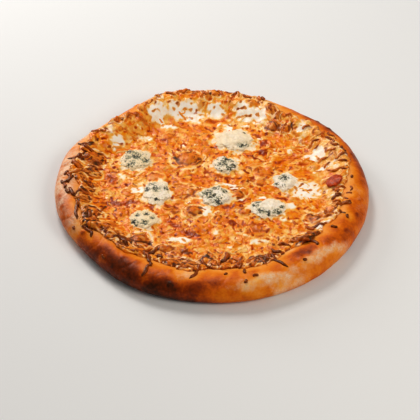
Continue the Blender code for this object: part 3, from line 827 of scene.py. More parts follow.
draw_strokes(inner_strokes)
rim_zone = 1.0 - smooth(7 * MM, 18 * MM, from_edge)
for field in (stroke_height, stroke_cover, stroke_halo):
    field *= 1.0 - 0.85 * rim_zone
draw_strokes(edge_strokes)
calm = smooth(-0.22, 0.18, sheet_noise(15, 19.0)) * smooth(6 * MM, 24 * MM, from_edge)
stroke_height *= 1.0 - 0.8 * calm
stroke_cover *= 1.0 - 0.7 * calm
stroke_halo *= 1.0 - 0.7 * calm
print("share of the sheet under strokes:", round(float(stroke_cover.mean()), 2))

# %% [markdown]
# ## Blisters
# Steam lifts melted cheese into domes. Each browns to tan on its crown and darker along its
# foot, with a pale ring of fat-free cheese round it. Those that stand out are listed, with the
# clumps of shreds that browned like them, and small ones are scattered, most of them near the
# edge, where the sheet is thin.

# %% Blisters and browned clumps
# x and y in cm, radius in mm, height in mm: bumps shared with the solids
BLISTERS = (
    (-11.4, 3.7, 9, 1.6), (-11.4, 1.5, 7, 1.2), (-2.4, 4.0, 13, 1.2), (-1.3, -1.1, 7, 1.2),
    (-1.6, -3.7, 7, 1.4), (3.1, -3.6, 6, 1.3), (6.1, 9.0, 7, 1.4), (7.3, 8.3, 5, 1.0),
    (-11.0, -4.6, 8, 1.3), (-6.6, -8.0, 9, 1.6), (8.3, -7.9, 9, 1.3), (9.4, -4.8, 7, 1.2),
    (2.4, -1.5, 6, 1.0), (8.6, -0.6, 12, -0.6), (-2.0, 11.0, 10, -0.6), (3.4, 10.9, 9, -0.6),
    (-5.2, 10.8, 8, -0.5),
)
# blisters too low for the solids, in the same form
LOW_BLISTERS = (
    (-2.7, -0.9, 11, 0.7), (4.6, 0.6, 6, 0.6), (3.2, 0.4, 4, 0.6), (2.4, 4.4, 5, 0.5),
    (0.3, 1.7, 6, 0.5), (-5.4, 1.3, 7, 0.6), (5.0, 2.0, 9, 0.6), (-7.9, -0.9, 6, 0.6),
    (0.8, -5.0, 7, 0.7), (4.2, -6.5, 9, 0.6), (-3.4, -9.4, 8, 0.9), (-0.6, -9.8, 6, 0.8),
    (2.2, -9.9, 6, 0.9), (5.4, -9.0, 6, 0.8), (-8.8, -9.4, 7, 0.9), (10.7, 7.2, 6, 0.8),
    (11.6, 4.9, 5, 0.8), (-9.9, 8.9, 6, 0.8), (-9.8, -6.7, 7, 1.2), (-8.3, -7.3, 6, 1.1),
    (-11.1, -6.0, 6, 1.0), (-11.9, -1.6, 6, 0.9), (-12.0, -3.1, 5, 0.9), (-7.6, -9.4, 6, 1.1),
    (-5.2, -10.2, 6, 1.0), (-1.9, -11.0, 6, 1.0), (3.9, -10.4, 6, 1.0),
)
# clumps of shreds that browned to domes: x and y in cm, radius and height in mm, brownness
CLUMPS = (
    (-3.3, -10.9, 8, 1.7, 1.15), (-1.9, -11.3, 7, 1.6, 1.15), (-0.6, -10.5, 6, 1.2, 0.9),
    (0.3, -10.9, 4, 1.2, 1.1), (1.5, -10.5, 4, 1.1, 1.0), (2.6, -10.2, 4, 1.0, 0.9),
    (3.6, -11.2, 4, 1.3, 1.2), (4.7, -10.7, 5, 1.3, 1.2), (8.6, -8.2, 8, 1.6, 1.2),
    (7.3, -7.9, 6, 1.2, 0.9), (9.8, -4.8, 6, 1.3, 1.1), (10.9, -5.0, 4, 1.2, 1.0),
    (-6.6, -7.6, 9, 1.8, 1.15), (-7.8, -8.8, 6, 1.4, 1.1), (-9.2, -8.2, 5, 1.2, 1.0),
    (-10.7, -7.0, 6, 1.3, 1.1), (-11.7, -5.1, 5, 1.2, 1.15), (-11.2, -4.4, 6, 1.2, 1.0),
    (-11.5, 3.6, 10, 1.4, 1.0), (-12.0, -2.5, 5, 1.1, 1.1), (-8.2, 1.5, 5, 0.9, 0.7),
    (-9.4, 1.9, 5, 0.9, 0.8), (-1.8, -3.8, 8, 1.0, 0.9), (3.1, -3.9, 6, 1.1, 0.85),
    (2.6, -1.0, 8, 0.9, 0.8), (-2.0, -1.0, 5, 0.8, 0.7), (-2.3, 4.1, 11, 0.9, 0.6),
    (0.2, 1.5, 5, 0.7, 0.6), (-3.1, -2.2, 6, 0.8, 0.7), (4.6, -7.6, 6, 0.8, 0.7),
    (-0.3, 7.6, 6, 0.7, 0.6), (4.3, 2.7, 6, 0.8, 0.65), (-8.5, -3.9, 7, 0.9, 0.7),
    (8.0, 2.9, 5, 0.8, 0.7), (-4.2, 7.6, 6, 0.8, 0.7), (1.0, -7.6, 6, 0.8, 0.6),
    (3.9, -5.3, 5, 0.9, 0.7), (-4.1, -0.4, 5, 0.8, 0.6), (7.6, 8.5, 5, 1.1, 1.1),
    (6.3, 9.2, 8, 1.0, 0.8), (-10.4, 7.8, 5, 0.8, 0.8), (-9.4, 9.2, 5, 0.9, 1.1),
)
CLUMP_RISE = 1.5
SHARED_RISE = 0.5
ROUND_ASPECT = 0.85
rows = [(x, y, size, SHARED_RISE * rise, 1.0, 0.0) for x, y, size, rise in BLISTERS if rise > 0]
rows += [(x, y, size, rise, 0.85, 0.0) for x, y, size, rise in LOW_BLISTERS]
rows += [(x, y, size, CLUMP_RISE * rise, tone, 0.5) for x, y, size, rise, tone in CLUMPS]
blisters = [
    (x * CM, y * CM, size * MM, rise * MM, tone, ROUND_ASPECT, turn)
    for x, y, size, rise, tone, turn in rows
]
print("blisters and clumps placed by hand:", len(blisters))

# %% Scatter small blisters
EDGE_BLISTER_COUNT = 80
INNER_BLISTER_COUNT = 110
BLISTER_REACH = 11.0 * CM
blister_random = random.Random(34)
for number in range(EDGE_BLISTER_COUNT + INNER_BLISTER_COUNT):
    if number < EDGE_BLISTER_COUNT:
        at = 2.0 * math.pi * (number + blister_random.random()) / EDGE_BLISTER_COUNT
        size = blister_random.uniform(3.0, 7.5) * MM
        from_middle = one_angle(fringed_edge, at) - size - 17.0 * MM * blister_random.random() ** 1.8
        tone = blister_random.uniform(0.45, 1.1)
    else:
        at = blister_random.uniform(-math.pi, math.pi)
        size = blister_random.uniform(2.4, 6.0) * MM
        from_middle = BLISTER_REACH * math.sqrt(blister_random.random())
        tone = blister_random.uniform(0.0, 0.8) ** 1.5
    rise = blister_random.uniform(0.18, 0.34) * size
    aspect = blister_random.uniform(0.45, 0.85)
    turn = blister_random.uniform(-math.pi, math.pi)
    blisters.append((*place_at(from_middle, at), size, rise, tone, aspect, turn))
print("blisters with the scattered ones:", len(blisters))

# %% Draw the blisters
blister_height, blister_cover, crown_toast, outline_toast, pale_ring = np.zeros((5, len(sheet_x)))
for at_x, at_y, size, rise, tone, aspect, turn in blisters:
    near, along, across = points_near(at_x, at_y, 1.7 * size, turn)
    away = np.hypot(along, across / aspect) / size
    dome = np.clip(1.0 - away * away, 0.0, 1.0)
    raise_to(blister_height, near, rise * np.sqrt(dome) * (0.4 + 0.6 * dome))
    raise_to(blister_cover, near, smooth(1.1, 0.8, away))
    raise_to(crown_toast, near, 0.54 * tone * smooth(1.05, 0.8, away))
    raise_to(outline_toast, near, tone * bell((away - 1.0) * size, 0.0, max(0.17 * size, 0.8 * MM)))
    raise_to(pale_ring, near, tone * bell(away, 1.35, 0.2))
print("highest blister, mm:", round(float(blister_height.max()) / MM, 1))

# %% [markdown]
# ## Pools, pits and threads
# Milky pools stay smooth, because whole mozzarella melts flat. Between them bubbling fat leaves
# small pits, seams run where two melted shreds meet, and thin threads of cheese lie over both.
# Pits, seams and threads are each a noise passed through a soft step.

# %% Pools and oily spots
# x and y in cm, half sizes in mm, turn in degrees, strength
OIL_SPOTS = (
    (-9.5, -2.6, 10, 4, -5, 1.0), (1.9, -5.4, 4, 5, 60, 0.9), (-1.9, -6.8, 11, 3, -15, 0.95),
    (4.2, -6.5, 12, 2.5, 10, 0.95), (9.0, 3.3, 5, 4, 0, 0.7), (6.6, 3.7, 6, 3, 20, 0.7),
    (-7.6, -2.4, 12, 3, 0, 0.8), (-4.0, -3.1, 8, 2.5, 0, 0.9), (-9.7, 1.0, 5, 8, 30, 0.8),
    (-8.0, 2.1, 7, 2, -10, 0.8), (5.1, 5.1, 7, 5, 15, 1.0), (9.0, 5.3, 8, 4, -10, 1.0),
    (8.0, 4.4, 8, 6, 20, 0.5), (0.3, 10.3, 10, 3, 10, 0.8), (-7.8, 10.1, 6, 4, 0, 0.8),
    (5.2, 6.6, 4, 6, 0, 0.8), (1.2, -3.1, 4, 3, 0, 0.7), (6.6, -1.9, 8, 3, -10, 0.8),
    (-5.9, 4.6, 5, 6, 0, 0.5), (1.0, 1.3, 10, 3, -15, 0.7), (-1.0, 1.3, 8, 3, 10, 0.5),
    (-8.8, -6.0, 8, 3, 20, 0.5), (3.9, -5.6, 12, 2, 10, 0.6), (-3.5, -5.6, 9, 4, -25, 0.7),
    (-0.5, 5.5, 6, 3, 0, 0.4), (11.6, 6.6, 5, 5, 0, 0.5), (-5.0, 7.0, 9, 3, 0, 0.4),
)
# wide areas where the cheese lies thin and pale
PALE_ZONES = (
    (11.4, 1.5, 20, 62, 0, 1.0), (9.5, 6.5, 26, 26, 0, 0.7), (8.6, -6.6, 26, 10, 25, 0.7),
    (0.0, 11.5, 70, 16, 0, 0.7), (-9.2, 6.6, 14, 22, -30, 0.7), (-4.6, -7.6, 20, 6, 0, 0.5),
    (2.0, -8.4, 40, 8, 5, 0.5),
)
warped_x, warped_y = wander(plan, 7 * MM, 3.2 * MM, 101.0)
finer_x, finer_y = wander(plan, 2.6 * MM, 1.3 * MM, 113.0)
warped_x = warped_x + finer_x - sheet_x
warped_y = warped_y + finer_y - sheet_y
shore = 0.34 * sheet_noise(5, 103.0) + 0.22 * sheet_noise(2.2, 107.0)
milk = smooth(0.22, 0.90, 1.2 * ellipse_field(warped_x, warped_y, MILK_POOLS, 0.9) + 0.8 * shore)
oil_spots = ellipse_field(warped_x, warped_y, OIL_SPOTS, 0.6)
toasted = ellipse_field(warped_x, warped_y, TOASTED, 0.5)
pale_zone = ellipse_field(warped_x, warped_y, PALE_ZONES, 0.9)
print("share of milky cheese:", round(float(milk.mean()), 2))

# %% Pits, seams and threads
quiet = 1.0 - 0.75 * smooth(0.4, 0.8, milk)
bubble = sheet_noise(3.6, 33.0)
pits = smooth(0.28, 0.6, bubble) * quiet
fine_relief = (0.25 * MM * sheet_noise(4.6, 35.0) + 0.05 * MM * sheet_noise(2.1, 37.0)) * quiet
warped = flat_places(warped_x, warped_y)


def threads(size, shift, half_width):
    """Thin wandering lines, where a noise passes through zero."""
    return 1.0 - smooth(0.3 * half_width, half_width, np.abs(grain(warped, size, shift)))


seam = threads(8 * MM, 59.0, 0.14) * (1.0 - milk)
cream_web = threads(10 * MM, 73.0, 0.2) * smooth(-0.25, 0.3, sheet_noise(12, 75.0))
brown_web = threads(9 * MM, 83.0, 0.13) * smooth(-0.1, 0.3, sheet_noise(10, 85.0))
print("share of pits:", round(float(pits.mean()), 2))

# %% [markdown]
# ## The sheet's height
# The smooth form is level in the dish and lies as a skin up the slope, with the bumps that the
# solid has too. The strokes, blisters and pits are laid on it, a bead runs along the melted
# edge, and the sheet dips to the lumps with a small collar of softened cheese round each.

# %% The smooth form of the cheese
MOST_EXPONENT = 30.0


def smooth_cheese(x, y, radius, angle, edge):
    """Height of the cheese as the solids have it, before any stroke."""
    over = (crust_top(radius, angle) + GAP + EDGE_SKIN - CHEESE_LEVEL) / LEVEL_BLEND
    height = CHEESE_LEVEL + LEVEL_BLEND * np.log1p(np.exp(np.minimum(over, MOST_EXPONENT)))
    plan = flat_places(x, y)
    bumps = ROUGH_HEIGHT * (grain(plan, ROUGH_SIZE) + 0.5 * grain(plan + (0, 0, 0.1), 0.5 * ROUGH_SIZE))
    for at_x, at_y, size, rise in BLISTERS:
        bumps += rise * MM * bell(np.hypot(x - at_x * CM, y - at_y * CM), 0.0, size * MM)
    return height + np.clip((edge - radius) / SMOOTH_BORDER, 0.0, 1.0) * bumps


smooth_top = smooth_cheese(sheet_x, sheet_y, radius, sheet_angle, edge)
print("smooth top, mm:", round(float(smooth_top.max()) / MM, 1))

# %% Beads and ridges
near_edge = smooth(0.0, 2.5 * MM, from_edge)
bead_noise = sheet_noise(8, 121.0) + 0.35 * sheet_noise(3.5, 123.0)
bead = bell(from_edge, 3.8 * MM, 2.8 * MM) * smooth(-0.15, 0.4, bead_noise)
stroke_height *= 1.0 - 0.8 * blister_cover
ridges = highest(stroke_height, blister_height, 0.4 * MM * brown_web)
relief = quiet * ridges + fine_relief - 0.5 * MM * pits - 0.3 * MM * seam
print("highest ridge, mm:", round(float(ridges.max()) / MM, 1))

# %% Collars round the lumps, and the finished height
LIP_HEIGHT = 0.5 * MM
SKIRT_SINK = 0.4 * MM
# x and y in cm, half sizes in mm, turn in degrees: the lumps of blue cheese
BLUE_LUMPS = (
    (-7.4, 3.9, 14.0, 14.5, 20), (-5.2, -1.1, 12.5, 16.0, 10), (0.4, -1.6, 13.5, 13.5, 0),
    (2.3, 7.0, 18.0, 15.5, -15), (1.3, 3.1, 11.0, 11.5, 30), (7.0, 0.5, 10.5, 12.5, 0),
    (5.3, -3.4, 16.0, 12.5, 10), (-6.3, -5.0, 12.5, 12.0, -20),
)
collar, puddle = np.zeros((2, len(sheet_x)))
puddle_noise = sheet_noise(9, 61.0) + 0.6 * sheet_noise(3, 63.0)
for lump in BLUE_LUMPS:
    away = ellipse_away(bent_x, bent_y, *lump)
    relief = relief * smooth(0.85, 1.15, away)
    collar = np.maximum(collar, bell(away, 1.02, 0.17))
    puddle = np.maximum(puddle, 1.0 - smooth(1.0, 1.4, away + 0.5 * puddle_noise))
relief += (0.9 + 0.5 * puddle_noise) * MM * collar + 1.7 * MM * bead
relief += milk * (0.45 + 0.35 * sheet_noise(5, 127.0)) * MM
top = smooth_top + relief * (0.3 + 0.7 * near_edge)
top -= (EDGE_SKIN - LIP_HEIGHT) * (1.0 - np.sqrt(np.clip(from_edge / (2.0 * MM), 0.0, 1.0)))
height = np.where(under, crust_top(radius, sheet_angle) - SKIRT_SINK, top)
put_places(sheet.data, np.stack([sheet_x, sheet_y, height], axis=1))
close_up(sheet)
print("highest point of the sheet, mm:", round(float(height.max()) / MM, 1))

# %% [markdown]
# ## Tones of the sheet
# Three numbers at each point: cream, red oil and toast. Hollows and pits hold the orange fat, laid darker
# there than the fat alone as painted shade, ridges dry to cream, and blisters brown first on their crowns,
# with a darker line round them. Each tone is built up by taking the highest of several layers, which keeps
# the marks of all of them.

# %% Cream of the sheet
broad = sheet_noise(21, 43.0)
middle = sheet_noise(8.5, 47.0)
small = sheet_noise(4.4, 53.0)
# painted glare: the cheese turns creamier towards the back, which the light behind washes out
far = smooth(-8 * CM, 12 * CM, sheet_y)
cream = 0.58 * smooth(0.0, 0.65, 0.5 * broad + 0.9 * middle + 0.2 * small + 0.1 * far + 0.45 * pale_zone)
cream = cream + stroke_cover * (0.8 * stroke_cream - 0.08 - 0.4 * cream) * (1.0 - 0.7 * blister_cover)
spots = smooth(0.16, 0.4, sheet_noise(4.6, 67.0) + 0.3 * small)
cream = highest(
    cream,
    0.7 * pale_ring,
    (0.55 + 0.3 * small) * cream_web,
    (0.45 + 0.35 * rim_zone) * stroke_halo * (1.0 - 0.7 * blister_cover),
    0.8 * puddle,
    milk * (0.95 + 0.15 * small - 0.5 * spots),
)
cream = cream * (1.0 - 0.75 * oil_spots)
print("mean cream:", round(float(cream.mean()), 2))

# %% Oil of the sheet
# oil in the hollows and the pits: real orange fat, made darker as painted shade
hollow = smooth(0.12, 0.5, -small - 0.4 * middle) * (1.0 - 0.6 * stroke_cover)
oil = highest(
    oil_spots * (1.1 + 0.6 * small),
    0.9 * hollow * (1.0 - 0.5 * rim_zone) + 0.6 * pits,
    0.8 * seam * smooth(-0.1, 0.4, middle),
)
oil = oil * (1.0 - 0.6 * pale_zone) * (1.0 - 0.85 * milk) * (1.0 - 0.8 * puddle)
oil = oil * smooth(0.0, 5 * MM, from_edge)
print("mean oil:", round(float(oil.mean()), 2))

# %% Toast of the sheet
crown = smooth(-0.25, 0.45, small * (1.0 - 0.6 * rim_zone) + 0.6 * middle)
rim_band = 1.0 - smooth(3 * MM, 20 * MM, from_edge)
broken_outline = outline_toast * smooth(-0.45, 0.25, small)
flecks = smooth(0.3, 0.5, sheet_noise(2.7, 97.0)) * smooth(-0.05, 0.45, sheet_noise(14, 99.0))
toast = toasted * (0.16 + 0.36 * crown) + 0.62 * stroke_toast * stroke_cover
toast = toast + 0.22 * rim_band * (0.6 + 0.8 * smooth(-0.3, 0.4, middle))
toast = toast * (1.0 - 0.4 * pale_zone)
# painted shade: the hollows between the beads of the edge are laid dark brown
rim_hollow_shade = rim_band * smooth(0.05, 0.45, -bead_noise)
toast = highest(
    toast,
    (0.42 + 0.35 * toasted) * (1.0 - 0.5 * pale_zone) * rim_hollow_shade,
    brown_web * (0.55 + 0.5 * toasted + 0.25 * rim_band),
    flecks * (0.58 + 0.35 * toasted) * (1.0 - 0.7 * rim_zone),
    crown_toast * (0.8 + 0.4 * middle),
)
toast = toast + (0.45 + 0.2 * rim_zone) * broken_outline
toast = toast * (1.0 - 0.45 * bead * smooth(-0.2, 0.4, small))
behind_bead = bell(from_edge, 8.0 * MM, 2.5 * MM) * smooth(-0.1, 0.4, bead_noise)
toast = highest(
    toast,
    (0.5 + 0.5 * bead_noise) * (1.0 - smooth(0.5 * MM, 2.2 * MM, from_edge)),
    0.75 * behind_bead * (1.0 - 0.6 * pale_zone),
)
toast = toast * (1.0 - 0.65 * stroke_halo * (1.0 - 0.6 * blister_cover))
toast = toast * (1.0 - 0.6 * milk) * (1.0 - 0.85 * puddle) + 0.5 * spots * milk
for name, values in (("cream", cream), ("oil", oil), ("toast", toast)):
    put_attribute(sheet.data, name, np.clip(values, 0.0, 1.0))
print("mean toast:", round(float(toast.mean()), 2))

# %% [markdown]
# ## Finish of the cheese
# The same finish serves the sheet and the shreds, since both carry the same attributes. Orange
# fat is the ground, cream and red oil are mixed over it, and a ramp browns it last. Oily parts
# are smoother than toasted ones, which gives the many small lights of a hot pizza.

# %% Cheese finish
melt = Finish("melted_cheese_finish", 0.3, 0.24)
speck = melt.noise(1.3 * MM, 3.0, 0.6)
blotch = melt.noise(4.5 * MM)
colour = melt.cover(tint(244, 150, 12), blotch, 0.35, 0.65, tint(226, 104, 0))
cream_share = melt.frayed("cream", speck, 0.07)
colour = melt.cover(colour, cream_share, 0.14, 0.62, tint(250, 198, 98))
colour = melt.cover(colour, cream_share, 0.52, 0.96, tint(255, 248, 240))
oil_share = melt.frayed("oil", speck, 0.06)
colour = melt.cover(colour, oil_share, 0.2, 0.6, tint(216, 92, 0))
colour = melt.cover(colour, oil_share, 0.5, 0.85, tint(142, 46, 0))
toast_share = melt.frayed("toast", speck, 0.06)
toast_colour = melt.ramp(toast_share, (
    (0.25, tint(238, 152, 58)),
    (0.50, tint(198, 100, 26)),
    (0.72, tint(128, 56, 8)),
    (0.97, tint(48, 22, 4)),
))
colour = melt.mix(melt.step(toast_share, 0.22, 0.6, 0.0, 0.95), colour, toast_colour)
melt.set("Base Color", colour)
wetness = melt.combine(oil_share, toast_share, "SUBTRACT")
melt.set("Roughness", melt.step(wetness, -0.5, 0.5, 0.26, 0.15))
melt.bump(melt.combine(melt.times(speck, 0.6), blotch), 0.5 * MM)
melt.set("Subsurface Weight", 0.06)
melt.set("Subsurface Radius", (0.004, 0.0018, 0.0008))
sheet.data.materials.append(melt.material)
settle(sheet, "cheese")

# %% [markdown]
# ## Shreds that kept their form
# On the rim and here and there on top, shreds browned before they melted, and they still stand
# up. Each one is a copy of the same small rod, and the copies are laid along curved paths on the
# surface below, found by casting rays straight down.

# %% A rod to copy
ROD_SIDES = 8
ROD_RINGS = 9
bm = bmesh.new()
bmesh.ops.create_cone(bm, cap_ends=True, segments=ROD_SIDES, radius1=1.0, radius2=1.0, depth=1.0)
long_edges = [edge for edge in bm.edges if abs(edge.verts[0].co.z - edge.verts[1].co.z) > 0.5]
bmesh.ops.subdivide_edges(bm, edges=long_edges, cuts=ROD_RINGS - 2)
rod = bpy.data.meshes.new("rod")
bm.to_mesh(rod)
bm.free()
rod_places = read_places(rod)
print("rod:", len(rod_places), "points")

# %% The surface below a point
RAY_START = 20 * CM
bm = bmesh.new()
for piece in (crust, sheet):
    bm.from_mesh(piece.data)
ground = BVHTree.FromBMesh(bm)
print("faces to cast rays at:", len(bm.faces))
bm.free()


def drop(x, y):
    """The surface point and its normal straight below x, y."""
    place, normal, _, _ = ground.ray_cast(Vector((x, y, RAY_START)), Vector((0.0, 0.0, -1.0)))
    return place, normal


# %% [markdown]
# ## Laying rods
# Every rod has the same rings of points, so a path only has to give each ring its place, its
# direction and its width. The rings sink into the cheese, swell in the middle and narrow to
# blunt ends, and they bend with the strokes below them.

# %% Lay rods along paths
def lay_rods(name, paths):
    """Join one rod for each path: start, end, sideways bend, half width, sink, cream, toast."""
    bm = bmesh.new()
    for _ in paths:
        bm.from_mesh(rod)
    piece = new_piece(name, bm)
    every_place = []
    every_cream = []
    every_toast = []
    for start, end, bend, half_width, sink, cream, toast_start, toast_end in paths:
        run = end - start
        side_way = Vector((-run.y, run.x)).normalized()
        centres = []
        ups = []
        for ring in range(ROD_RINGS):
            share = ring / (ROD_RINGS - 1)
            spot = start + run * share + side_way * bend * math.sin(math.pi * share)
            pushed_x, pushed_y = wander(np.array([[spot.x, spot.y, 0.0]]), *BENDS)
            place, normal = drop(2.0 * spot.x - float(pushed_x[0]), 2.0 * spot.y - float(pushed_y[0]))
            centres.append(place)
            ups.append(normal)
        for point in rod_places:
            share = point[2] + 0.5
            ring = round(share * (ROD_RINGS - 1))
            before = centres[max(ring - 1, 0)]
            after = centres[min(ring + 1, ROD_RINGS - 1)]
            forward = (after - before).normalized()
            up = ups[ring]
            side = up.cross(forward).normalized()
            swell = math.sqrt(max(1.0 - (2.0 * share - 1.0) ** 6, 0.0)) * 0.75 + 0.25
            swell *= 1.0 + 0.22 * noise.noise((start.x * 900 + 3.0 * share, start.y * 900, 0.5))
            lift = half_width * (0.9 - 1.2 * sink)
            place = centres[ring] + side * (half_width * swell * point[0])
            place += up * (lift + 0.85 * half_width * swell * point[1])
            every_place.append(place)
            every_cream.append(cream)
            blotch = noise.noise(place / (2.2 * MM))
            every_toast.append(toast_start + (toast_end - toast_start) * share + 0.22 * blotch)
    put_places(piece.data, np.array(every_place))
    put_attribute(piece.data, "cream", np.clip(every_cream, 0, 1))
    put_attribute(piece.data, "oil", np.zeros(len(every_place)))
    put_attribute(piece.data, "toast", np.clip(every_toast, 0, 1))
    close_up(piece)
    piece.data.materials.append(melt.material)
    return piece


# %% [markdown]
# ## Where the shreds lie
# Most rods lie on the strokes of the melted edge that browned enough to stand up, so each has
# its melted foot below it. The crumbs on the rim come from their table. The rest are scattered
# over the cheese by a seeded draw, and all of them keep clear of the blue cheese and the tomato.

# %% Places without shreds
TOMATO_PLACE = (11.7 * CM, 0.0)
TOMATO_REACH = 8.0 * MM


def clear_of_lumps(spot, margin):
    """True where a spot is off the blue cheese and the tomato."""
    for x, y, half_x, half_y, _ in BLUE_LUMPS:
        sideways = (spot.x - x * CM) / (half_x * MM + margin)
        inwards = (spot.y - y * CM) / (half_y * MM + margin)
        if math.hypot(sideways, inwards) < 1.0:
            return False
    return math.hypot(spot.x - TOMATO_PLACE[0], spot.y - TOMATO_PLACE[1]) > TOMATO_REACH + margin


print("places kept free:", len(BLUE_LUMPS) + 1)

# %% Paths of the shreds
shred_random = random.Random(8)
LOOSE_COUNT = 110
LOOSE_REACH = 12.0 * CM
ROD_SHARE = 0.72
BROWN_ENOUGH = 0.5
LUMP_MARGIN = 2.0 * MM
LOOSE_MARGIN = 1.5 * MM

paths = []
for at_x, at_y, turn, length, bend, half_width, _, cream, brown_tone in edge_strokes:
    half = Vector(place_at(1.0, turn)) * 0.5 * length
    spot = Vector((at_x, at_y))
    sink = shred_random.uniform(0.45, 1.0)
    toast_start = min(brown_tone * shred_random.uniform(0.6, 0.9), 0.8)
    toast_end = min(brown_tone * shred_random.uniform(0.9, 1.1), 0.9)
    off_lumps = clear_of_lumps(spot - half, LUMP_MARGIN) and clear_of_lumps(spot + half, LUMP_MARGIN)
    if brown_tone > BROWN_ENOUGH and off_lumps:
        paths.append((spot - half, spot + half, bend, ROD_SHARE * half_width, sink,
                      0.5 * cream, toast_start, toast_end))
for x, y, length, turn in RIM_CRUMBS:
    half = Vector(place_at(1.0, math.radians(turn))) * 0.5 * length * MM
    spot = Vector((x, y)) * CM
    paths.append((spot - half, spot + half, 0.4 * MM, 1.4 * MM, 0.5, 0.2, 0.84, 0.78))
rim_paths = len(paths)
while len(paths) < rim_paths + LOOSE_COUNT:
    at = shred_random.uniform(-math.pi, math.pi)
    from_middle = LOOSE_REACH * math.sqrt(shred_random.random())
    spot = Vector(place_at(1.0, at)) * from_middle
    turn = shred_random.uniform(-math.pi, math.pi)
    half = Vector(place_at(1.0, turn)) * shred_random.uniform(3.0, 7.5) * MM
    if not all(clear_of_lumps(spot + half * share, LOOSE_MARGIN) for share in (-1, 0, 1)):
        continue
    cream, brown_tone = stroke_tone(spot.x, spot.y)
    paths.append((spot - half, spot + half, shred_random.uniform(-2.2, 2.2) * MM,
                  shred_random.uniform(0.8, 1.4) * MM, shred_random.uniform(0.8, 1.25),
                  0.6 * cream, brown_tone, brown_tone * shred_random.uniform(0.6, 1.4)))
shreds = lay_rods("browned_shreds", paths)
settle(shreds, "cheese")

# %% [markdown]
# ## Blue cheese
# A lump of blue cheese softens but keeps its crumbly body, with dark mould in veins and holes.
# Each lump starts as a ball of small triangles, takes nearly the same flattened, noise-swollen form as its
# solid with a ragged rim, and then gets crags. Its mould spots are listed.

# %% Lumps of blue cheese
LUMP_HALF_HEIGHT = 2.7 * MM
LUMP_LIFT = 0.7 * MM
LUMP_ROUGHNESS = 0.12
LUMP_RAGGEDNESS = 1.35
LUMP_FINENESS = 6

# mould spots of each lump: sideways, away from the viewer and radius, in mm
MOULD_SPOTS = (
    ((-6, 11, 4.5), (0, 3, 5.0), (9, -2, 3.8), (-4, -9, 3.2)),
    ((-6, 12, 3.5), (8, 5, 3.0), (-9, 3, 3.2), (-1, 4, 4.5), (0, -12, 2.4)),
    ((-8, 3, 4.6), (-4, -3, 4.6), (2, -9, 4.8), (0, 11, 4.2), (9, 7, 3.8)),
    ((6, -10, 3.4), (11, -8, 2.6), (10, 10, 1.5)),
    ((8, -3, 3.0), (2, 5, 4.5), (-3, -2, 3.5), (4, -7, 2.6)),
    ((-1, 4, 5.2), (-8, -5, 2.6), (-1, -8, 2.0)),
    ((-12, 3, 3.6), (-7, -5, 3.8), (0, -8, 3.2), (8, -6, 3.8), (13, 1, 2.2), (-9, 8, 3.0)),
    ((-6, 5, 2.6), (2, 6, 2.6), (8, 1, 2.6), (-9, -6, 4.0), (1, -6, 3.4)),
)
# how yellow each lump is, and how finely the mould is scattered over it
LUMP_TONES = (
    (0.75, 0.55), (0.35, 0.35), (0.25, 0.45), (0.55, 0.05), (0.35, 0.75), (0.2, 0.25), (0.25, 0.3),
    (0.9, 0.2),
)


def lump_form(name, x, y, half_sizes, turn, lift, roughness, raggedness, fineness):
    """A flattened uneven ball lying on the cheese, and its points in its own directions."""
    bm = bmesh.new()
    bmesh.ops.create_icosphere(bm, subdivisions=fineness, radius=1.0)
    lump = new_piece(name, bm)
    ball = read_places(lump.data)
    swell = 1.0 + roughness * grain(ball * 1.7, 1.0, np.array([x * 90, y * 90, 0.0]))
    torn = 0.18 * grain(ball * 2.2, 1.0, x * 300) + 0.10 * grain(ball * 5.5, 1.0, x * 90)
    ragged = swell * (1.0 + raggedness * torn)
    across = half_sizes[0] * ball[:, 0] * ragged
    along = half_sizes[1] * ball[:, 1] * ragged
    spot_x = x + across * math.cos(turn) - along * math.sin(turn)
    spot_y = y + across * math.sin(turn) + along * math.cos(turn)
    rounding = np.sign(ball[:, 2]) * np.abs(ball[:, 2]) ** 0.8
    angle = np.arctan2(spot_y, spot_x)
    below = smooth_cheese(spot_x, spot_y, np.hypot(spot_x, spot_y), angle, cheese_edge(angle))
    height = below + lift + half_sizes[2] * rounding * swell
    return lump, ball, np.stack([spot_x, spot_y, height], axis=1)


print("lumps:", len(BLUE_LUMPS), "mould spots:", sum(len(spots) for spots in MOULD_SPOTS))

# %% [markdown]
# ## Finish of the blue cheese
# The flesh runs from white to a light yellow, with duller patches. The mould is laid over it
# twice, first grey-green and then nearly black, so that each spot has a soft grey border.

# %% Blue cheese finish
flesh = Finish("blue_cheese_finish", 0.36, 0.4)
grainy = flesh.noise(1.1 * MM, 3.0, 0.6)
body = flesh.mix(flesh.attribute("yellow"), tint(252, 244, 234), tint(246, 222, 180))
patchy = flesh.step(flesh.noise(3.2 * MM), 0.4, 0.68)
body = flesh.mix(flesh.times(patchy, 0.45), body, tint(216, 196, 164))
mould = flesh.frayed("mould", grainy, 0.22)
colour = flesh.cover(body, mould, 0.22, 0.5, tint(150, 148, 118))
flesh.set("Base Color", flesh.cover(colour, mould, 0.5, 0.8, tint(46, 48, 42)))
flesh.bump(grainy, 0.5 * MM)
flesh.set("Subsurface Weight", 0.08)
flesh.set("Subsurface Radius", (0.003, 0.002, 0.001))
print("nodes of the blue cheese finish:", len(flesh.tree.nodes))

# %% [markdown]
# ## Mould and crags
# Mould is a vertex attribute: spots with broken outlines, plus a fine scatter. Where it grows
# the cheese has sunk a little, so the spots are shallow pits as well as dark.

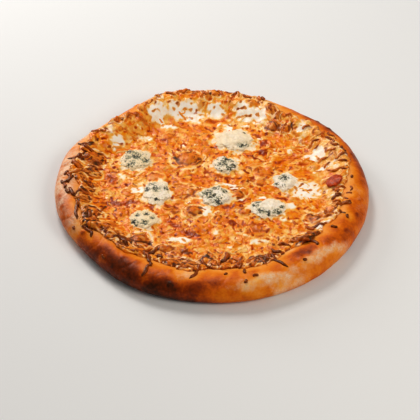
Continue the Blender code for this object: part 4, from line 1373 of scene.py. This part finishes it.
# %% Shape and mark the lumps
for number, (x, y, half_x, half_y, turn) in enumerate(BLUE_LUMPS, start=1):
    half_sizes = (half_x * MM, half_y * MM, LUMP_HALF_HEIGHT)
    lump, ball, places = lump_form(f"blue_cheese_lump_{number}", x * CM, y * CM, half_sizes,
                                   math.radians(turn), LUMP_LIFT, LUMP_ROUGHNESS,
                                   LUMP_RAGGEDNESS, LUMP_FINENESS)
    yellow, scatter = LUMP_TONES[number - 1]
    warped_x, warped_y = wander(places, 2.6 * MM, 1.6 * MM, 3.0 * number)
    mould, veil = np.zeros((2, len(places)))
    for spot_x, spot_y, size in MOULD_SPOTS[number - 1]:
        away = np.hypot(warped_x - x * CM - spot_x * MM, warped_y - y * CM - spot_y * MM) / (size * MM)
        mould = np.maximum(mould, 1.0 - smooth(0.5, 1.6, away))
        veil = np.maximum(veil, 1.0 - smooth(0.8, 2.2, away))
    broken = grain(places, 1.8 * MM, 5.0 * number) + 0.5 * grain(places, 0.9 * MM, 7.0 * number)
    speckle = grain(places, 1.7 * MM, 9.0 * number) + 0.4 * grain(places, 6.0 * MM, 8.0 * number)
    mould = highest(
        mould * smooth(-0.4, 0.3, broken),
        scatter * smooth(0.15, 0.5, speckle),
        0.4 * veil * smooth(-0.6, 0.1, speckle),
    )
    crags = 0.6 * MM * grain(places, 4.2 * MM, 2.0 * number)
    crags += 0.32 * MM * grain(places, 1.5 * MM, 4.0 * number)
    places[:, 2] += (crags - 0.4 * MM * mould) * smooth(-0.1, 0.4, ball[:, 2])
    put_places(lump.data, places)
    put_attribute(lump.data, "mould", mould)
    foot = 1.0 - smooth(0.0, 0.4, ball[:, 2])
    yellowness = yellow + 0.4 * grain(places, 7 * MM, number) + 0.5 * foot
    put_attribute(lump.data, "yellow", np.clip(yellowness, 0, 1))
    lump.data.shade_smooth()
    lump.data.materials.append(flesh.material)
    settle(lump, f"blue_cheese_{number}")

# %% [markdown]
# ## The piece of tomato
# One bit of cooked tomato lies at the right, wrinkled and wet. It is the same flattened ball with
# long wrinkles and small bumps, and its finish mottles from deep red to orange under a thin wet
# coat.

# %% Tomato
TOMATO_HALF = (7.5 * MM, 8.0 * MM, 2.2 * MM)
TOMATO_LIFT = 1.9 * MM
TOMATO_ROUGHNESS = 0.05
TOMATO_RAGGEDNESS = 0.5
TOMATO_FINENESS = 5
tomato, ball, places = lump_form("cooked_tomato", *TOMATO_PLACE, TOMATO_HALF, 0.0, TOMATO_LIFT,
                                 TOMATO_ROUGHNESS, TOMATO_RAGGEDNESS, TOMATO_FINENESS)
wrinkles = grain(places * (1.0, 0.5, 1.0), 2.4 * MM, 3.0)
seeds = grain(places, 1.3 * MM, 9.0)
places[:, 2] += (0.32 * wrinkles + 0.16 * seeds) * MM * smooth(-0.1, 0.4, ball[:, 2])
put_places(tomato.data, places)
tomato.data.shade_smooth()
wet = Finish("cooked_tomato_finish", 0.3, 0.2)
pulp = wet.noise(2.6 * MM, 3.0)
wet.set("Base Color", wet.cover(tint(146, 36, 0), pulp, 0.35, 0.7, tint(214, 84, 2)))
wet.bump(wet.noise(1.2 * MM), 0.45 * MM)
wet.set("Coat Weight", 0.04)
wet.set("Coat Roughness", 0.08)
tomato.data.materials.append(wet.material)
settle(tomato, "tomato")

# %% [markdown]
# ## Floor, light and camera
# The floor is plain and pale. A soft light behind gives the glints on the oil, a second one behind at the
# left adds to the sheen on that rim, which is also painted into the dough's colour, a weaker warm one in
# front at the right lifts that side, and the world fills in.

# %% Floor
FLOOR_HALF = 3.0
bm = bmesh.new()
bmesh.ops.create_grid(bm, x_segments=1, y_segments=1, size=FLOOR_HALF)
floor = new_piece("studio_floor", bm)
plain = Finish("studio_floor_finish", 0.9, 0.2)
plain.set("Base Color", (0.77, 0.80, 0.85, 1.0))
floor.data.materials.append(plain.material)
print("floor side, m:", 2 * FLOOR_HALF)

# %% Lights
def soft_light(name, place, size, power, colour):
    """A square area light that faces the middle of the pizza."""
    light = bpy.data.lights.new(name, "AREA")
    light.size = size
    light.energy = power
    light.color = colour
    lamp = bpy.data.objects.new(name, light)
    lamp.location = place
    lamp.rotation_euler = (-Vector(place)).to_track_quat("-Z", "Y").to_euler()
    bpy.context.scene.collection.objects.link(lamp)


soft_light("window", (-0.45, 1.0, 1.2), 0.5, 10.7, (1.0, 0.94, 0.85))
soft_light("left_side", (-1.0, 1.15, 0.6), 0.6, 9.6, (1.0, 0.94, 0.86))
soft_light("right_side", (0.9, -0.6, 0.9), 0.6, 6.9, (1.0, 0.91, 0.78))
world = bpy.data.worlds.new("studio")
bpy.context.scene.world = world
world.use_nodes = True
background = world.node_tree.nodes["Background"]
background.inputs["Color"].default_value = (1.0, 0.95, 0.87, 1.0)
background.inputs["Strength"].default_value = 0.22
bpy.context.scene.view_settings.view_transform = "Standard"
bpy.context.scene.view_settings.look = "Medium High Contrast"
print("lights:", len(bpy.data.lights))

# %% Camera
ELEVATION = math.radians(41.0)
DISTANCE = 1.20
AIM = Vector((-0.0016, -0.0323, 0.010))
camera_data = bpy.data.cameras.new("camera")
camera_data.lens = 109.2
camera_data.sensor_width = 36.0
camera = bpy.data.objects.new("camera", camera_data)
camera.location = AIM + DISTANCE * Vector((0.0, -math.cos(ELEVATION), math.sin(ELEVATION)))
camera.rotation_euler = (AIM - camera.location).to_track_quat("-Z", "Y").to_euler()
bpy.context.scene.collection.objects.link(camera)
bpy.context.scene.camera = camera
print("camera looks down by, degrees:", round(math.degrees(ELEVATION)))
